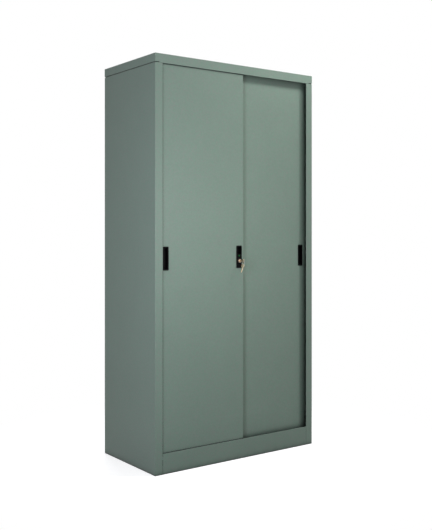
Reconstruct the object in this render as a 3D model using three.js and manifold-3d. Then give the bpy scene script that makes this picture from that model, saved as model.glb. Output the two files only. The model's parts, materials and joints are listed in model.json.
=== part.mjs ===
// Steel cupboard with two sliding doors, three adjustable shelves and a push lock with two keys.
// Millimetres, +Z up. The doors face -Y, and the origin is the middle of the whole outline on the
// floor. Folded sheet is drawn as a line of flats with a thickness and a bend radius, and each
// piece that the cupboard would come apart into is a mesh of its own.

import * as THREE from "three";
import { mergeVertices } from "three/addons/utils/BufferGeometryUtils.js";
import Module from "manifold-3d";

const wasm = await Module();
wasm.setup();

// Overall size: three feet wide, eighteen inches deep, six feet high
const cabinetWidth = 915;
const cabinetDepth = 457;
const cabinetHeight = 1830;

// Folded sheet steel
const sheet = 0.8;
const bendRadius = 0.8;
const hemGap = 0.6;
const hemLength = 12;
const bendSteps = 3;

// Clearances, cuts and joins
const seatGap = 0.3;
const overrun = 2;
const weldLap = 4;
const pointsPerMillimetre = 1000;

// Body: side panels with hemmed front stiles, cap, plinth, deck and back
const stileWidth = 38.6;
const sideFlange = 20;
const capDrop = 40.5;
const capLip = 14;
const capSeamHeight = 3;
const capSeamDepth = 3;
const capSeamFold = 0.3;
const plinthHeight = 90;
const plinthSeam = 0.9;
const plinthFoot = 25;
const backFold = 18;
const deckWall = 25;
const deckLip = 12;

// Doors: two pans, one lane behind the other
const doorDepth = 16;
const doorLip = 12;
const doorRecess = 4.4;
const doorGap = 4.1;
const doorEdgeInset = 24;
const doorOpenInset = 31;
const sillCover = 11;
const fasciaCover = 6;

// Hat channel that stiffens a door's back
const stiffenerCrown = 30;
const stiffenerFlange = 15;
const stiffenerDepth = 12;
const stiffenerEndGap = 25;

// Bottom track, rollers and their brackets
const railRise = 10;
const railShow = 7;
const railHeadRadius = 2.2;
const railWeb = 2.4;
const trackBase = 1.6;
const trackMargin = 8.2;
const axleRise = 5.3;
const axleRadius = 2.4;
const rivetRadius = 3.6;
const rivetHead = 0.8;
const rollerWidth = 8;
const rollerFlange = 2;
const rollerRim = 1;
const rollerInset = 60;
const rollerSideGap = 0.5;
const axleGap = 0.12;
const bracketPlate = 1.2;
const bracketLength = 44;
const bracketRoof = 2;
const bracketFold = 0.6;

// Top track and the guides that run in it
const channelLeg = 1.2;
const channelDrop = 21;
const guideWidth = 12;
const guideGap = 1;
const guideLength = 40;
const guideRise = 19;
const guideBase = 2;
const guideBaseMargin = 1.6;
const guideEdge = 0.8;
const guideInset = 50;

// Rubber buffers on the side panels
const bufferHeight = 130;
const bufferRadius = 7.2;
const bufferNeck = 4.6;
const bufferBase = 2.4;
const bufferHead = 7;

// Slotted uprights, shelf clips and shelves
const uprightWeb = 26;
const uprightFlange = 9;
const uprightDepth = 12;
const uprightFrontInset = 78;
const uprightRearInset = 42;
const slotPitch = 60;
const slotMargin = 30;
const slotLength = 14;
const slotHeight = 3.4;
const clipSheet = 1.5;
const clipBend = 0.5;
const clipHook = 6;
const clipDrop = 12;
const clipTab = 13;
const clipWidth = 12;
const shelfCount = 3;
const shelfWall = 25;
const shelfLip = 12;
const shelfEndGap = 1;
const shelfFrontInset = 55;
const shelfBackGap = 2;

// Recessed pulls, moulded
const pullHeight = 938.5;
const pullLength = 103;
const pullWidth = 28;
const lockPullWidth = 31;
const pullInset = 33;
const lockInset = 24;
const pullRim = 1.2;
const pullRimEdge = 0.4;
const pullCorner = 3.5;
const pullBodyMargin = 3;
const pullBodyDepth = 12;
const pullBodyCorner = 2;
const pullFloor = 1.4;
const gripMargin = 5;
const gripScoop = 11;
const snapRise = 0.9;
const snapDepth = 3;
const snapLength = 10;
const lockGripLength = 34;
const gripTopMargin = 4.5;

// Push lock in the left door's middle pull
const lockDrop = 18.5;
const barrelRadius = 9;
const barrelFlangeRadius = 10.2;
const barrelFlange = 0.8;
const barrelEnd = 15.7;
const barrelEndWall = 1.1;
const plungerRadius = 7;
const plungerTravel = 6;
const plungerEdge = 0.6;
const plungerFloor = 0.9;
const tailRadius = 3.8;
const tailReach = 1.5;
const tailNose = 1;
const slideGap = 0.2;
const coreRadius = 4.6;
const coreEdge = 0.3;
const coreFloor = 0.5;
const nutAcross = 22;
const nutThickness = 2.6;
const springWire = 0.6;
const springRadius = 5.2;
const springTurns = 4;
const dotRise = 5.5;
const dotRadius = 3;
const dotDepth = 0.9;
const dotDome = 0.4;

// Strike bush in the right door, which sets how far the doors lie over each other
const strikeInset = 29;
const strikeFlangeRadius = 10;
const strikeRadius = 7.5;
const strikeBore = 5.4;
const strikeFlange = 0.8;
const strikeLength = 5;

// Two alike keys on a wire ring
const keyThickness = 2;
const bowRadius = 9.4;
const bowHoleRadius = 2.7;
const bowHoleOffset = 4.6;
const neckLength = 10.2;
const neckWidth = 7.4;
const shoulderWidth = 8.6;
const shoulderLength = 2;
const bladeLength = 12.5;
const bladeWidth = 6;
const keywayGap = 0.25;
const bittingDepthShares = [0.3, 0.12, 0.4, 0.2, 0.34];
const ringRadius = 8;
const ringWire = 0.6;
const spareLeanDegrees = 15;

// How finely round forms are stepped
const wheelSides = 18;
const lockSides = 24;
const smallSides = 12;
const bowSteps = 24;
const holeSides = 12;
const cornerSteps = 3;
const grooveSteps = 2;
const bevelSteps = 1;
const ringSides = 22;
const wireSides = 6;
const springStepsPerTurn = 8;

// Places that follow from the sizes above
const halfWidth = cabinetWidth / 2;
const frontPlane = -cabinetDepth / 2;
const backPlane = cabinetDepth / 2;
const hemThickness = 2 * sheet + hemGap;
const fasciaBottom = cabinetHeight - capDrop;
const bodyTop = fasciaBottom - seatGap;
const innerHalfWidth = halfWidth - sheet - seatGap;
const doorOverlap = lockInset + strikeInset;
const doorWidth = (cabinetWidth - 2 * doorEdgeInset + doorOverlap) / 2;
const strikePlace = strikeInset - doorWidth / 2;
const doorBottom = plinthHeight - sillCover;
const doorTop = fasciaBottom + fasciaCover;
const doorHeight = doorTop - doorBottom;
const frontDoorFace = frontPlane + doorRecess;
const rearDoorFace = frontDoorFace + doorDepth + doorGap;
const frontLane = frontDoorFace + doorDepth / 2;
const rearLane = rearDoorFace + doorDepth / 2;
const railTop = doorBottom - railShow;
const deckTop = railTop - railRise;
const axleHeight = doorBottom + axleRise;
const rollerRoot = axleHeight - railTop - seatGap;
const rollerRadius = rollerRoot + rollerFlange;
const backSheetFace = backPlane - sheet - seatGap;
const uprightFace = halfWidth - sheet - seatGap - uprightDepth;
const clipPlateFace = uprightFace - seatGap;
const shelfHalfLength = clipPlateFace - clipSheet - shelfEndGap;

// Finishes
const paint = { color: 0x7f9184, roughness: 0.55, metalness: 0 };
const galvanised = { color: 0xa9adad, roughness: 0.4, metalness: 0.8 };
const aluminium = { color: 0xb9bcbd, roughness: 0.35, metalness: 0.9 };
const nickel = { color: 0xd6c7b4, roughness: 0.28, metalness: 1 };
const brass = { color: 0xb4875c, roughness: 0.35, metalness: 1 };
const blackPlastic = { color: 0x0d0d0e, roughness: 0.4, metalness: 0 };
const nylon = { color: 0xe6e4dc, roughness: 0.45, metalness: 0 };
const rubber = { color: 0x1b1b1c, roughness: 0.8, metalness: 0 };
const greenPlastic = { color: 0x1e7a3a, roughness: 0.4, metalness: 0 };

// A geometry as a solid. Its corners are rounded to a thousandth of a millimetre, so that faces
// drawn in one plane meet exactly.
function solidOf(geometry) {
  const bare = geometry.index ? geometry.toNonIndexed() : geometry.clone();
  const corners = bare.getAttribute("position").array.map(
    (value) => Math.round(value * pointsPerMillimetre) / pointsPerMillimetre,
  );
  const plain = new THREE.BufferGeometry();
  plain.setAttribute("position", new THREE.BufferAttribute(corners, 3));
  const merged = mergeVertices(plain, 1 / pointsPerMillimetre / 2);
  return new wasm.Manifold(
    new wasm.Mesh({
      numProp: 3,
      vertProperties: merged.getAttribute("position").array,
      triVerts: new Uint32Array(merged.index.array),
    }),
  );
}

function geometryOf(solid) {
  const { vertProperties, triVerts } = solid.getMesh();
  const geometry = new THREE.BufferGeometry();
  geometry.setAttribute("position", new THREE.BufferAttribute(vertProperties, 3));
  geometry.setIndex(new THREE.BufferAttribute(triVerts, 1));
  return geometry;
}

const joined = (...geometries) =>
  geometryOf(geometries.map(solidOf).reduce((all, next) => all.add(next)));

const cutBy = (geometry, ...cutters) =>
  geometryOf(cutters.map(solidOf).reduce((left, next) => left.subtract(next), solidOf(geometry)));

// A block between two corners.
function block([x0, y0, z0], [x1, y1, z1]) {
  const box = new THREE.BoxGeometry(x1 - x0, y1 - y0, z1 - z0);
  return box.translate((x0 + x1) / 2, (y0 + y1) / 2, (z0 + z1) / 2);
}

// The outline of a strip of sheet folded along a line of flats. The line is one face of the
// strip, and the thickness lies to the left of it. A corner may give its own inside radius.
function foldedOutline(corners, thickness = sheet) {
  const line = corners.map(([u, v]) => new THREE.Vector2(u, v));
  const face = [];
  const back = [];
  const leftOf = (direction) => new THREE.Vector2(-direction.y, direction.x);
  line.forEach((here, i) => {
    const before = i > 0 ? here.clone().sub(line[i - 1]).normalize() : null;
    const after = i < line.length - 1 ? line[i + 1].clone().sub(here).normalize() : null;
    if (!before || !after) {
      face.push(here);
      back.push(here.clone().addScaledVector(leftOf(before ?? after), thickness));
      return;
    }
    const turn = Math.atan2(before.cross(after), before.dot(after));
    const side = Math.sign(turn);
    const inside = corners[i][2] ?? bendRadius;
    const faceRadius = side > 0 ? inside + thickness : inside;
    const backRadius = side > 0 ? inside : inside + thickness;
    const centre = here
      .clone()
      .addScaledVector(before, -faceRadius * Math.tan(Math.abs(turn) / 2))
      .addScaledVector(leftOf(before), side * faceRadius);
    for (let step = 0; step <= bendSteps; step++) {
      const outwards = leftOf(before)
        .multiplyScalar(-side)
        .rotateAround(new THREE.Vector2(), (turn * step) / bendSteps);
      face.push(centre.clone().addScaledVector(outwards, faceRadius));
      back.push(centre.clone().addScaledVector(outwards, backRadius));
    }
  });
  return [...face, ...back.reverse()];
}

// An outline or a list of its points, drawn out to a length, with its ends bevelled or plain.
function drawnOut(outline, length, bevel = 0) {
  const shape = outline instanceof THREE.Shape ? outline : new THREE.Shape(outline);
  const options = {
    depth: length - 2 * bevel,
    bevelEnabled: bevel > 0,
    bevelThickness: bevel,
    bevelSize: bevel,
    bevelOffset: -bevel,
    bevelSegments: bevelSteps,
    curveSegments: cornerSteps,
  };
  return new THREE.ExtrudeGeometry(shape, options).translate(0, 0, bevel);
}

// Outlines drawn in (y, z), (x, z) and (x, y), drawn out along the third axis between two places.
function alongX(outline, from, to) {
  const turn = new THREE.Matrix4().set(0, 0, 1, from, 1, 0, 0, 0, 0, 1, 0, 0, 0, 0, 0, 1);
  return drawnOut(outline, to - from).applyMatrix4(turn);
}

function alongY(outline, from, to, bevel = 0) {
  const turn = new THREE.Matrix4().set(1, 0, 0, 0, 0, 0, -1, to, 0, 1, 0, 0, 0, 0, 0, 1);
  return drawnOut(outline, to - from, bevel).applyMatrix4(turn);
}

const alongZ = (outline, from, to, bevel = 0) =>
  drawnOut(outline, to - from, bevel).translate(0, 0, from);

function roundedRectangle(width, height, radius) {
  const [right, top] = [width / 2, height / 2];
  const quarter = Math.PI / 2;
  const shape = new THREE.Shape();
  shape.absarc(right - radius, top - radius, radius, 0, quarter);
  shape.absarc(radius - right, top - radius, radius, quarter, 2 * quarter);
  shape.absarc(radius - right, radius - top, radius, 2 * quarter, 3 * quarter);
  shape.absarc(right - radius, radius - top, radius, 3 * quarter, 4 * quarter);
  shape.closePath();
  return shape;
}

// A sheet with its four edges folded up alike, face down at y = 0. The rim is drawn as insets
// from the edge and heights above the face: a lathe of four sides, whose corners move apart to
// the pan's own length along x and z.
function foldedPan(lengthX, lengthZ, rim, thickness = sheet) {
  const half = Math.min(lengthX, lengthZ) / 2;
  const line = rim.map(([inset, height, radius]) => [half - inset, height, radius]);
  const section = foldedOutline([[0, 0], ...line], thickness);
  const points = section.map(({ x, y }) => new THREE.Vector2(x * Math.SQRT2, y));
  const pan = new THREE.LatheGeometry(points, 4, Math.PI / 4);
  const place = pan.getAttribute("position");
  for (let i = 0; i < place.count; i++) {
    const [x, z] = [place.getX(i), place.getZ(i)];
    place.setX(i, x + Math.sign(x) * (lengthX / 2 - half));
    place.setZ(i, z + Math.sign(z) * (lengthZ / 2 - half));
  }
  return pan;
}

// A turned piece about the Y axis. Its section runs along +y on the outside, and one that
// stays off the axis closes on itself.
function turned(section, sides) {
  const points = section.map(([radius, y]) => new THREE.Vector2(radius, y));
  if (section[0][0] > 0) points.push(points[0].clone());
  return new THREE.LatheGeometry(points, sides);
}

const faceUp = (pan) => pan.rotateX(-Math.PI / 2);

// The radius at the corners of a many-sided hole that stays clear of a round of this radius.
const clearOf = (radius, gap, sides) => (radius + gap) / Math.cos(Math.PI / sides);

// The left side panel is one sheet: outer face, hemmed stile at the front, and flanges at the
// back, top and bottom, which are its edges folded like the stile and trimmed shorter.
function sidePanel() {
  const rim = [
    [0, 0],
    [0, stileWidth, hemGap / 2],
    [hemThickness, stileWidth, hemGap / 2],
    [hemThickness, stileWidth - hemLength],
  ];
  const pan = foldedPan(cabinetDepth, bodyTop, rim);
  pan.rotateZ(-Math.PI / 2).translate(-halfWidth, 0, bodyTop / 2);
  const trim = block(
    [sideFlange - halfWidth, frontPlane + hemThickness, -overrun],
    [stileWidth - halfWidth + overrun, backPlane + overrun, bodyTop + overrun],
  );
  return cutBy(pan, trim);
}

// The cap is a tray turned over the body. Its edge steps in above the lip that rests on the side
// panels' flanges, which leaves a shadow line round the body. Between the flanges the front lip
// gives way to a hem, so that the doors can pass behind it.
function topCap() {
  const rim = [
    [0, 0],
    [0, capDrop - capSeamHeight, capSeamFold],
    [capSeamDepth, capDrop - capSeamHeight, capSeamFold],
    [capSeamDepth, capDrop, capSeamFold],
    [capLip, capDrop],
  ];
  const tray = faceUp(foldedPan(cabinetWidth, cabinetDepth, rim)).translate(0, 0, cabinetHeight);
  const mouth = halfWidth - sideFlange;
  const hemTop = fasciaBottom + hemLength;
  const frontLip = block(
    [-mouth, frontPlane - overrun, fasciaBottom - overrun],
    [mouth, frontPlane + capLip + overrun, hemTop],
  );
  const hem = foldedOutline([
    [frontPlane + hemThickness, hemTop],
    [frontPlane + hemThickness, fasciaBottom, hemGap / 2],
    [frontPlane, fasciaBottom, hemGap / 2],
    [frontPlane, hemTop + weldLap],
  ].reverse());
  return joined(cutBy(tray, frontLip), alongX(hem, -mouth, mouth));
}

// The plinth stands between the stiles, flush with them, with an open seam at each end: hemmed
// sill, front and floor flange.
function frontPlinth() {
  const section = foldedOutline([
    [frontPlane + hemThickness, plinthHeight - hemLength],
    [frontPlane + hemThickness, plinthHeight, hemGap / 2],
    [frontPlane, plinthHeight, hemGap / 2],
    [frontPlane, 0],
    [frontPlane + plinthFoot, 0],
  ]);
  const reach = halfWidth - stileWidth - plinthSeam;
  return alongX(section, -reach, reach);
}

// The back is one sheet inside the side panels' rear flanges, folded forward at both ends.
function backPanel() {
  const foot = sheet + seatGap;
  const head = bodyTop - sheet - seatGap;
  const section = foldedOutline([
    [backSheetFace - backFold, foot],
    [backSheetFace, foot],
    [backSheetFace, head],
    [backSheetFace - backFold, head],
  ]);
  return alongX(section, -innerHalfWidth, innerHalfWidth);
}

function bottomDeck() {
  const front = frontPlane + hemThickness + seatGap;
  const back = backSheetFace - sheet - seatGap;
  const rim = [
    [0, 0],
    [0, deckWall],
    [deckLip, deckWall],
  ];
  const pan = faceUp(foldedPan(2 * innerHalfWidth, back - front, rim));
  return pan.translate(0, (front + back) / 2, deckTop);
}

// One base carries a round-headed rail for each lane.
function bottomTrack() {
  const foot = deckTop + seatGap;
  const [front, back] = [frontLane - trackMargin, rearLane + trackMargin];
  const headCentre = railTop - railHeadRadius;
  const webTop = headCentre - Math.sqrt(railHeadRadius ** 2 - (railWeb / 2) ** 2);
  const headStart = Math.atan2(webTop - headCentre, railWeb / 2);
  const section = new THREE.Shape();
  section.moveTo(front, foot);
  section.lineTo(back, foot);
  section.lineTo(back, foot + trackBase);
  for (const lane of [rearLane, frontLane]) {
    section.lineTo(lane + railWeb / 2, foot + trackBase);
    section.lineTo(lane + railWeb / 2, webTop);
    section.absarc(lane, headCentre, railHeadRadius, headStart, Math.PI - headStart, false);
    section.lineTo(lane - railWeb / 2, foot + trackBase);
  }
  section.lineTo(front, foot + trackBase);
  return alongX(section, -innerHalfWidth, innerHalfWidth);
}

// The top track is two channels side by side, open downwards, under the cap.
function topTrack() {
  const top = cabinetHeight - sheet - seatGap;
  const inner = guideWidth / 2 + guideGap;
  const outer = inner + channelLeg;
  const roof = top - channelLeg;
  const mouth = top - channelDrop;
  const section = [[frontLane - outer, mouth]];
  for (const lane of [frontLane, rearLane]) {
    if (lane === rearLane) section.push([lane - outer, roof], [lane - outer, mouth]);
    section.push([lane - inner, mouth], [lane - inner, roof]);
    section.push([lane + inner, roof], [lane + inner, mouth], [lane + outer, mouth]);
    if (lane === frontLane) section.push([lane + outer, roof]);
  }
  section.push([rearLane + outer, top], [frontLane - outer, top]);
  const outline = section.map(([y, z]) => new THREE.Vector2(y, z));
  return alongX(outline, -innerHalfWidth, innerHalfWidth);
}

// The heights of the slots in an upright, from the deck to the body's top.
function slotHeights() {
  const room = bodyTop - deckTop - 2 * slotMargin;
  const count = Math.floor(room / slotPitch) + 1;
  return Array.from({ length: count }, (_, k) => deckTop + slotMargin + k * slotPitch);
}

// A slotted hat channel on the left side panel, at y = 0.
function upright() {
  const seat = sheet + seatGap - halfWidth;
  const web = seat + uprightDepth;
  const [half, reach] = [uprightWeb / 2 - sheet, uprightWeb / 2 + uprightFlange];
  const section = foldedOutline([
    [seat, reach],
    [seat, half],
    [web - sheet, half],
    [web - sheet, -half],
    [seat, -half],
    [seat, -reach],
  ]);
  const channel = alongZ(section, deckTop + seatGap, bodyTop - sheet - seatGap);
  const slots = slotHeights().map((z) =>
    block(
      [web - sheet - overrun, -slotLength / 2, z - slotHeight / 2],
      [web + overrun, slotLength / 2, z + slotHeight / 2],
    ),
  );
  return cutBy(channel, ...slots);
}

const clipSeat = -slotHeight / 2 + seatGap;
const shelfSeat = clipSeat - clipDrop + clipSheet + seatGap;

// A clip hooked through a slot of the left uprights, with its tab under the shelf's rim. The
// slot's middle is at z = 0.
function shelfClip() {
  const section = foldedOutline(
    [
      [-uprightFace - sheet - seatGap - clipSheet, clipSeat + clipHook],
      [-uprightFace - sheet - seatGap - clipSheet, clipSeat, clipBend],
      [-clipPlateFace, clipSeat, clipBend],
      [-clipPlateFace, clipSeat - clipDrop, clipBend],
      [-clipPlateFace + clipTab, clipSeat - clipDrop],
    ],
    clipSheet,
  );
  return alongY(section, -clipWidth / 2, clipWidth / 2);
}

// A shelf, with its rim's underside at z = 0.
function shelf() {
  const front = frontPlane + shelfFrontInset;
  const back = backSheetFace - sheet - shelfBackGap;
  const rim = [
    [0, 0],
    [0, shelfWall],
    [shelfLip, shelfWall],
  ];
  const pan = faceUp(foldedPan(2 * shelfHalfLength, back - front, rim));
  return pan.translate(0, (front + back) / 2, shelfWall);
}

// A buffer on the left side panel, as long as the place it leaves for a door's edge.
function buffer(doorEdge) {
  const length = doorEdge - sheet - 2 * seatGap;
  const section = [
    [0, 0],
    [bufferRadius, 0],
    [bufferRadius, bufferBase],
    [bufferNeck, bufferBase + bufferRadius - bufferNeck],
    [bufferNeck, length - bufferHead],
    [bufferRadius - bufferBase / 2, length - bufferHead + bufferBase],
    [bufferRadius, length - bufferBase],
    [bufferNeck, length],
    [0, length],
  ];
  return turned(section, smallSides).rotateZ(-Math.PI / 2).translate(sheet + seatGap - halfWidth, 0, 0);
}

// The hole in a door's face for a pull's body, drawn around the pull's own middle.
function pullHole(width) {
  const clear = 2 * seatGap - 2 * pullBodyMargin;
  const shape = roundedRectangle(width + clear, pullLength + clear, pullBodyCorner + seatGap);
  return alongY(shape, -overrun, sheet + overrun);
}

// A door pan in its own frame: face at y = 0, bottom edge at z = 0, middle at x = 0, with
// slots in the bottom wall for the rollers.
function doorPan() {
  const rim = [
    [0, 0],
    [0, doorDepth],
    [doorLip, doorDepth],
  ];
  const pan = foldedPan(doorWidth, doorHeight, rim).translate(0, 0, doorHeight / 2);
  const chord = Math.sqrt(rollerRadius ** 2 - axleRise ** 2) + overrun;
  const reach = rollerWidth / 2 + rollerSideGap + seatGap;
  const slots = [-1, 1].map((side) => {
    const x = side * (doorWidth / 2 - rollerInset);
    return block(
      [x - chord, doorDepth / 2 - reach, -overrun],
      [x + chord, doorDepth / 2 + reach, sheet + overrun],
    );
  });
  return cutBy(pan, ...slots);
}

function leftDoorPanel() {
  const height = pullHeight - doorBottom;
  return cutBy(
    doorPan(),
    pullHole(pullWidth).translate(pullInset - doorWidth / 2, 0, height),
    pullHole(lockPullWidth).translate(doorWidth / 2 - lockInset, 0, height),
  );
}

function rightDoorPanel() {
  const height = pullHeight - doorBottom;
  const hole = clearOf(strikeRadius, seatGap, smallSides);
  const strikeHole = new THREE.CylinderGeometry(hole, hole, 2 * overrun + sheet, smallSides);
  return cutBy(
    doorPan(),
    pullHole(pullWidth).translate(doorWidth / 2 - pullInset, 0, height),
    strikeHole.translate(strikePlace, sheet / 2, height - lockDrop),
  );
}

// A hat channel down the middle of a door, its flanges on the inside of the face.
function doorStiffener() {
  const seat = sheet + seatGap;
  const crown = seat + stiffenerDepth - sheet;
  const [half, reach] = [stiffenerCrown / 2 - sheet, stiffenerCrown / 2 + stiffenerFlange];
  const section = foldedOutline([
    [-reach, seat],
    [-half, seat],
    [-half, crown],
    [half, crown],
    [half, seat],
    [reach, seat],
  ]);
  return alongZ(section, stiffenerEndGap, doorHeight - stiffenerEndGap);
}

// A roller bracket at x = 0 in a door's frame: a folded yoke on the door's bottom wall, with the
// axle riveted through both cheeks.
function rollerBracket() {
  const inner = rollerWidth / 2 + rollerSideGap;
  const outer = inner + bracketPlate;
  const middle = doorDepth / 2;
  const foot = sheet + seatGap;
  const roof = axleRise + rollerRadius + bracketRoof + bracketPlate;
  const yoke = foldedOutline(
    [
      [middle + outer, foot],
      [middle + outer, roof, bracketFold],
      [middle - outer, roof, bracketFold],
      [middle - outer, foot],
    ],
    bracketPlate,
  );
  const rivet = [
    [0, -outer - rivetHead],
    [rivetRadius, -outer - rivetHead],
    [rivetRadius, -outer],
    [axleRadius, -outer + bracketPlate / 2],
    [axleRadius, outer - bracketPlate / 2],
    [rivetRadius, outer],
    [rivetRadius, outer + rivetHead],
    [0, outer + rivetHead],
  ];
  const axle = turned(rivet, smallSides).translate(0, middle, axleRise);
  return joined(alongX(yoke, -bracketLength / 2, bracketLength / 2), axle);
}

// A grooved roller about the Y axis. The groove is the rail's round head with a clearance.
function roller() {
  const half = rollerWidth / 2;
  const grooveRadius = railHeadRadius + seatGap;
  const bore = clearOf(axleRadius, axleGap, wheelSides);
  const mouth = Math.sqrt(grooveRadius ** 2 - (grooveRadius - rollerFlange) ** 2);
  const groove = Array.from({ length: 2 * grooveSteps + 1 }, (_, k) => {
    const y = mouth * (1 - k / grooveSteps);
    return [rollerRoot + grooveRadius - Math.sqrt(grooveRadius ** 2 - y ** 2), -y];
  });
  const section = [
    [bore, -half],
    [rollerRadius - rollerRim, -half],
    [rollerRadius, rollerRim - half],
    ...groove,
    [rollerRadius, half - rollerRim],
    [rollerRadius - rollerRim, half],
    [bore, half],
  ];
  return turned(section, wheelSides);
}

// A guide on a door's top wall: a moulded fin with round ends on a wider base.
function topGuide() {
  const base = roundedRectangle(
    guideLength + 2 * guideBaseMargin,
    guideWidth + 2 * guideBaseMargin,
    guideWidth / 2,
  );
  const fin = roundedRectangle(guideLength, guideWidth, guideWidth / 2);
  return joined(
    alongZ(base, seatGap, seatGap + guideBase),
    alongZ(fin, seatGap, seatGap + guideRise, guideEdge),
  ).translate(0, doorDepth / 2, doorHeight);
}

// A moulded pull around its own middle: rim on the door's face, body through it, snaps behind
// the sheet, and a scooped grip between two heights.
function pullHousing(width, gripLow, gripHigh) {
  const rimFront = -seatGap - pullRim;
  const bodyWidth = width - 2 * pullBodyMargin;
  const bodyLength = pullLength - 2 * pullBodyMargin;
  const rim = roundedRectangle(width, pullLength, pullCorner);
  const body = roundedRectangle(bodyWidth, bodyLength, pullBodyCorner);
  const snapStart = sheet + seatGap;
  const snaps = [-1, 1].map((side) => {
    const outline = [
      [side * (bodyWidth / 2 - snapRise), snapStart],
      [side * (bodyWidth / 2 + snapRise), snapStart],
      [side * (bodyWidth / 2 - snapRise), snapStart + snapDepth],
    ].map(([x, y]) => new THREE.Vector2(x, y));
    return alongZ(outline, -snapLength / 2, snapLength / 2);
  });
  const floor = pullBodyDepth - pullFloor;
  const grip = new THREE.Shape();
  grip.moveTo(rimFront - overrun, gripLow);
  grip.lineTo(rimFront, gripLow);
  grip.quadraticCurveTo(floor, gripLow, floor, gripLow + gripScoop);
  grip.lineTo(floor, gripHigh - gripScoop);
  grip.quadraticCurveTo(floor, gripHigh, rimFront, gripHigh);
  grip.lineTo(rimFront - overrun, gripHigh);
  const gripHalf = width / 2 - gripMargin;
  return cutBy(
    joined(
      alongY(rim, rimFront, -seatGap, pullRimEdge),
      alongY(body, rimFront + pullRimEdge, pullBodyDepth),
      ...snaps,
    ),
    alongX(grip, -gripHalf, gripHalf),
  );
}

function doorPull() {
  const grip = pullLength / 2 - gripTopMargin;
  return pullHousing(pullWidth, -grip, grip);
}

// The middle pull keeps its grip above, and holds the index dot and the lock below.
function lockPull() {
  const top = pullLength / 2 - gripTopMargin;
  const hole = clearOf(barrelRadius, seatGap, lockSides);
  const reach = 2 * (pullBodyDepth + overrun);
  const lockHole = new THREE.CylinderGeometry(hole, hole, reach, lockSides);
  const dotHole = clearOf(dotRadius, seatGap, smallSides);
  const dotFloor = dotDepth + seatGap - pullRim - seatGap;
  const dotReach = dotFloor + pullRim + seatGap + overrun;
  const dotPocket = new THREE.CylinderGeometry(dotHole, dotHole, dotReach, smallSides);
  return cutBy(
    pullHousing(lockPullWidth, top - lockGripLength, top),
    lockHole.translate(0, 0, -lockDrop),
    dotPocket.translate(0, dotFloor - dotReach / 2, dotRise),
  );
}

// The green index dot, domed, in its pocket.
function indexDot() {
  const back = dotDepth - pullRim - seatGap;
  const section = [
    [0, back - dotDepth - dotDome],
    [dotRadius * Math.SQRT1_2, back - dotDepth - dotDome / 2],
    [dotRadius, back - dotDepth],
    [dotRadius, back],
    [0, back],
  ];
  return turned(section, smallSides).translate(0, 0, dotRise);
}

// Places along the lock's axis, from the door's face.
const flangeFront = -seatGap - pullRim - seatGap - barrelFlange;
const plungerFront = flangeFront - plungerTravel;
const coreLength = bladeLength + coreFloor;
const plungerBack = plungerFront + coreLength + seatGap + plungerFloor;
const tailTip = doorDepth + tailReach;
const keyShoulder = plungerFront - seatGap;

// The barrel: flange on the pull, threaded body through it, and an end wall round the tail.
function lockBarrel() {
  const bore = clearOf(plungerRadius, slideGap, lockSides);
  const tailBore = clearOf(tailRadius, slideGap, lockSides);
  const edge = barrelFlange / 2;
  return turned(
    [
      [bore, flangeFront],
      [barrelFlangeRadius - edge, flangeFront],
      [barrelFlangeRadius, flangeFront + edge],
      [barrelFlangeRadius, flangeFront + barrelFlange],
      [barrelRadius, flangeFront + barrelFlange],
      [barrelRadius, barrelEnd],
      [tailBore, barrelEnd],
      [tailBore, barrelEnd - barrelEndWall],
      [bore, barrelEnd - barrelEndWall],
    ],
    lockSides,
  );
}

// A six-sided nut behind the pull.
function lockNut() {
  const corners = nutAcross / 2 / Math.cos(Math.PI / 6);
  const hex = new THREE.Shape();
  for (let k = 0; k < 6; k++) {
    const angle = (k * Math.PI) / 3;
    hex[k ? "lineTo" : "moveTo"](corners * Math.cos(angle), corners * Math.sin(angle));
  }
  const hole = clearOf(barrelRadius, seatGap, lockSides);
  const bore = new THREE.Path().absarc(0, 0, hole, 0, 2 * Math.PI);
  hex.holes.push(new THREE.Path(bore.getPoints(lockSides / 2)));
  const front = pullBodyDepth + seatGap;
  return alongY(hex, front, front + nutThickness);
}

// The plunger: a head that the core turns in, and the tail that bolts the doors together.
function plunger() {
  const bore = clearOf(coreRadius, slideGap, lockSides);
  const floor = plungerFront + coreLength + seatGap;
  return turned(
    [
      [0, floor],
      [bore, floor],
      [bore, plungerFront],
      [plungerRadius - plungerEdge, plungerFront],
      [plungerRadius, plungerFront + plungerEdge],
      [plungerRadius, plungerBack],
      [tailRadius, plungerBack],
      [tailRadius, tailTip - tailNose],
      [tailRadius - tailNose, tailTip],
      [0, tailTip],
    ],
    lockSides,
  );
}

// The core, with a keyway open at its front.
function lockCore() {
  const front = plungerFront;
  const body = turned(
    [
      [0, front],
      [coreRadius - coreEdge, front],
      [coreRadius, front + coreEdge],
      [coreRadius, front + coreLength],
      [0, front + coreLength],
    ],
    lockSides,
  );
  const halfSlot = keyThickness / 2 + keywayGap;
  const halfHeight = bladeWidth / 2 + keywayGap;
  const keyway = block(
    [-halfSlot, front - overrun, -halfHeight],
    [halfSlot, keyShoulder + bladeLength + keywayGap, halfHeight],
  );
  return cutBy(body, keyway);
}

// The return spring, a helix round the tail between the plunger and the barrel's end wall.
class Helix extends THREE.Curve {
  constructor(radius, start, end, turns) {
    super();
    Object.assign(this, { radius, start, end, turns });
  }
  getPoint(share, target = new THREE.Vector3()) {
    const angle = 2 * Math.PI * this.turns * share;
    const y = this.start + (this.end - this.start) * share;
    return target.set(this.radius * Math.cos(angle), y, this.radius * Math.sin(angle));
  }
}

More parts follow.
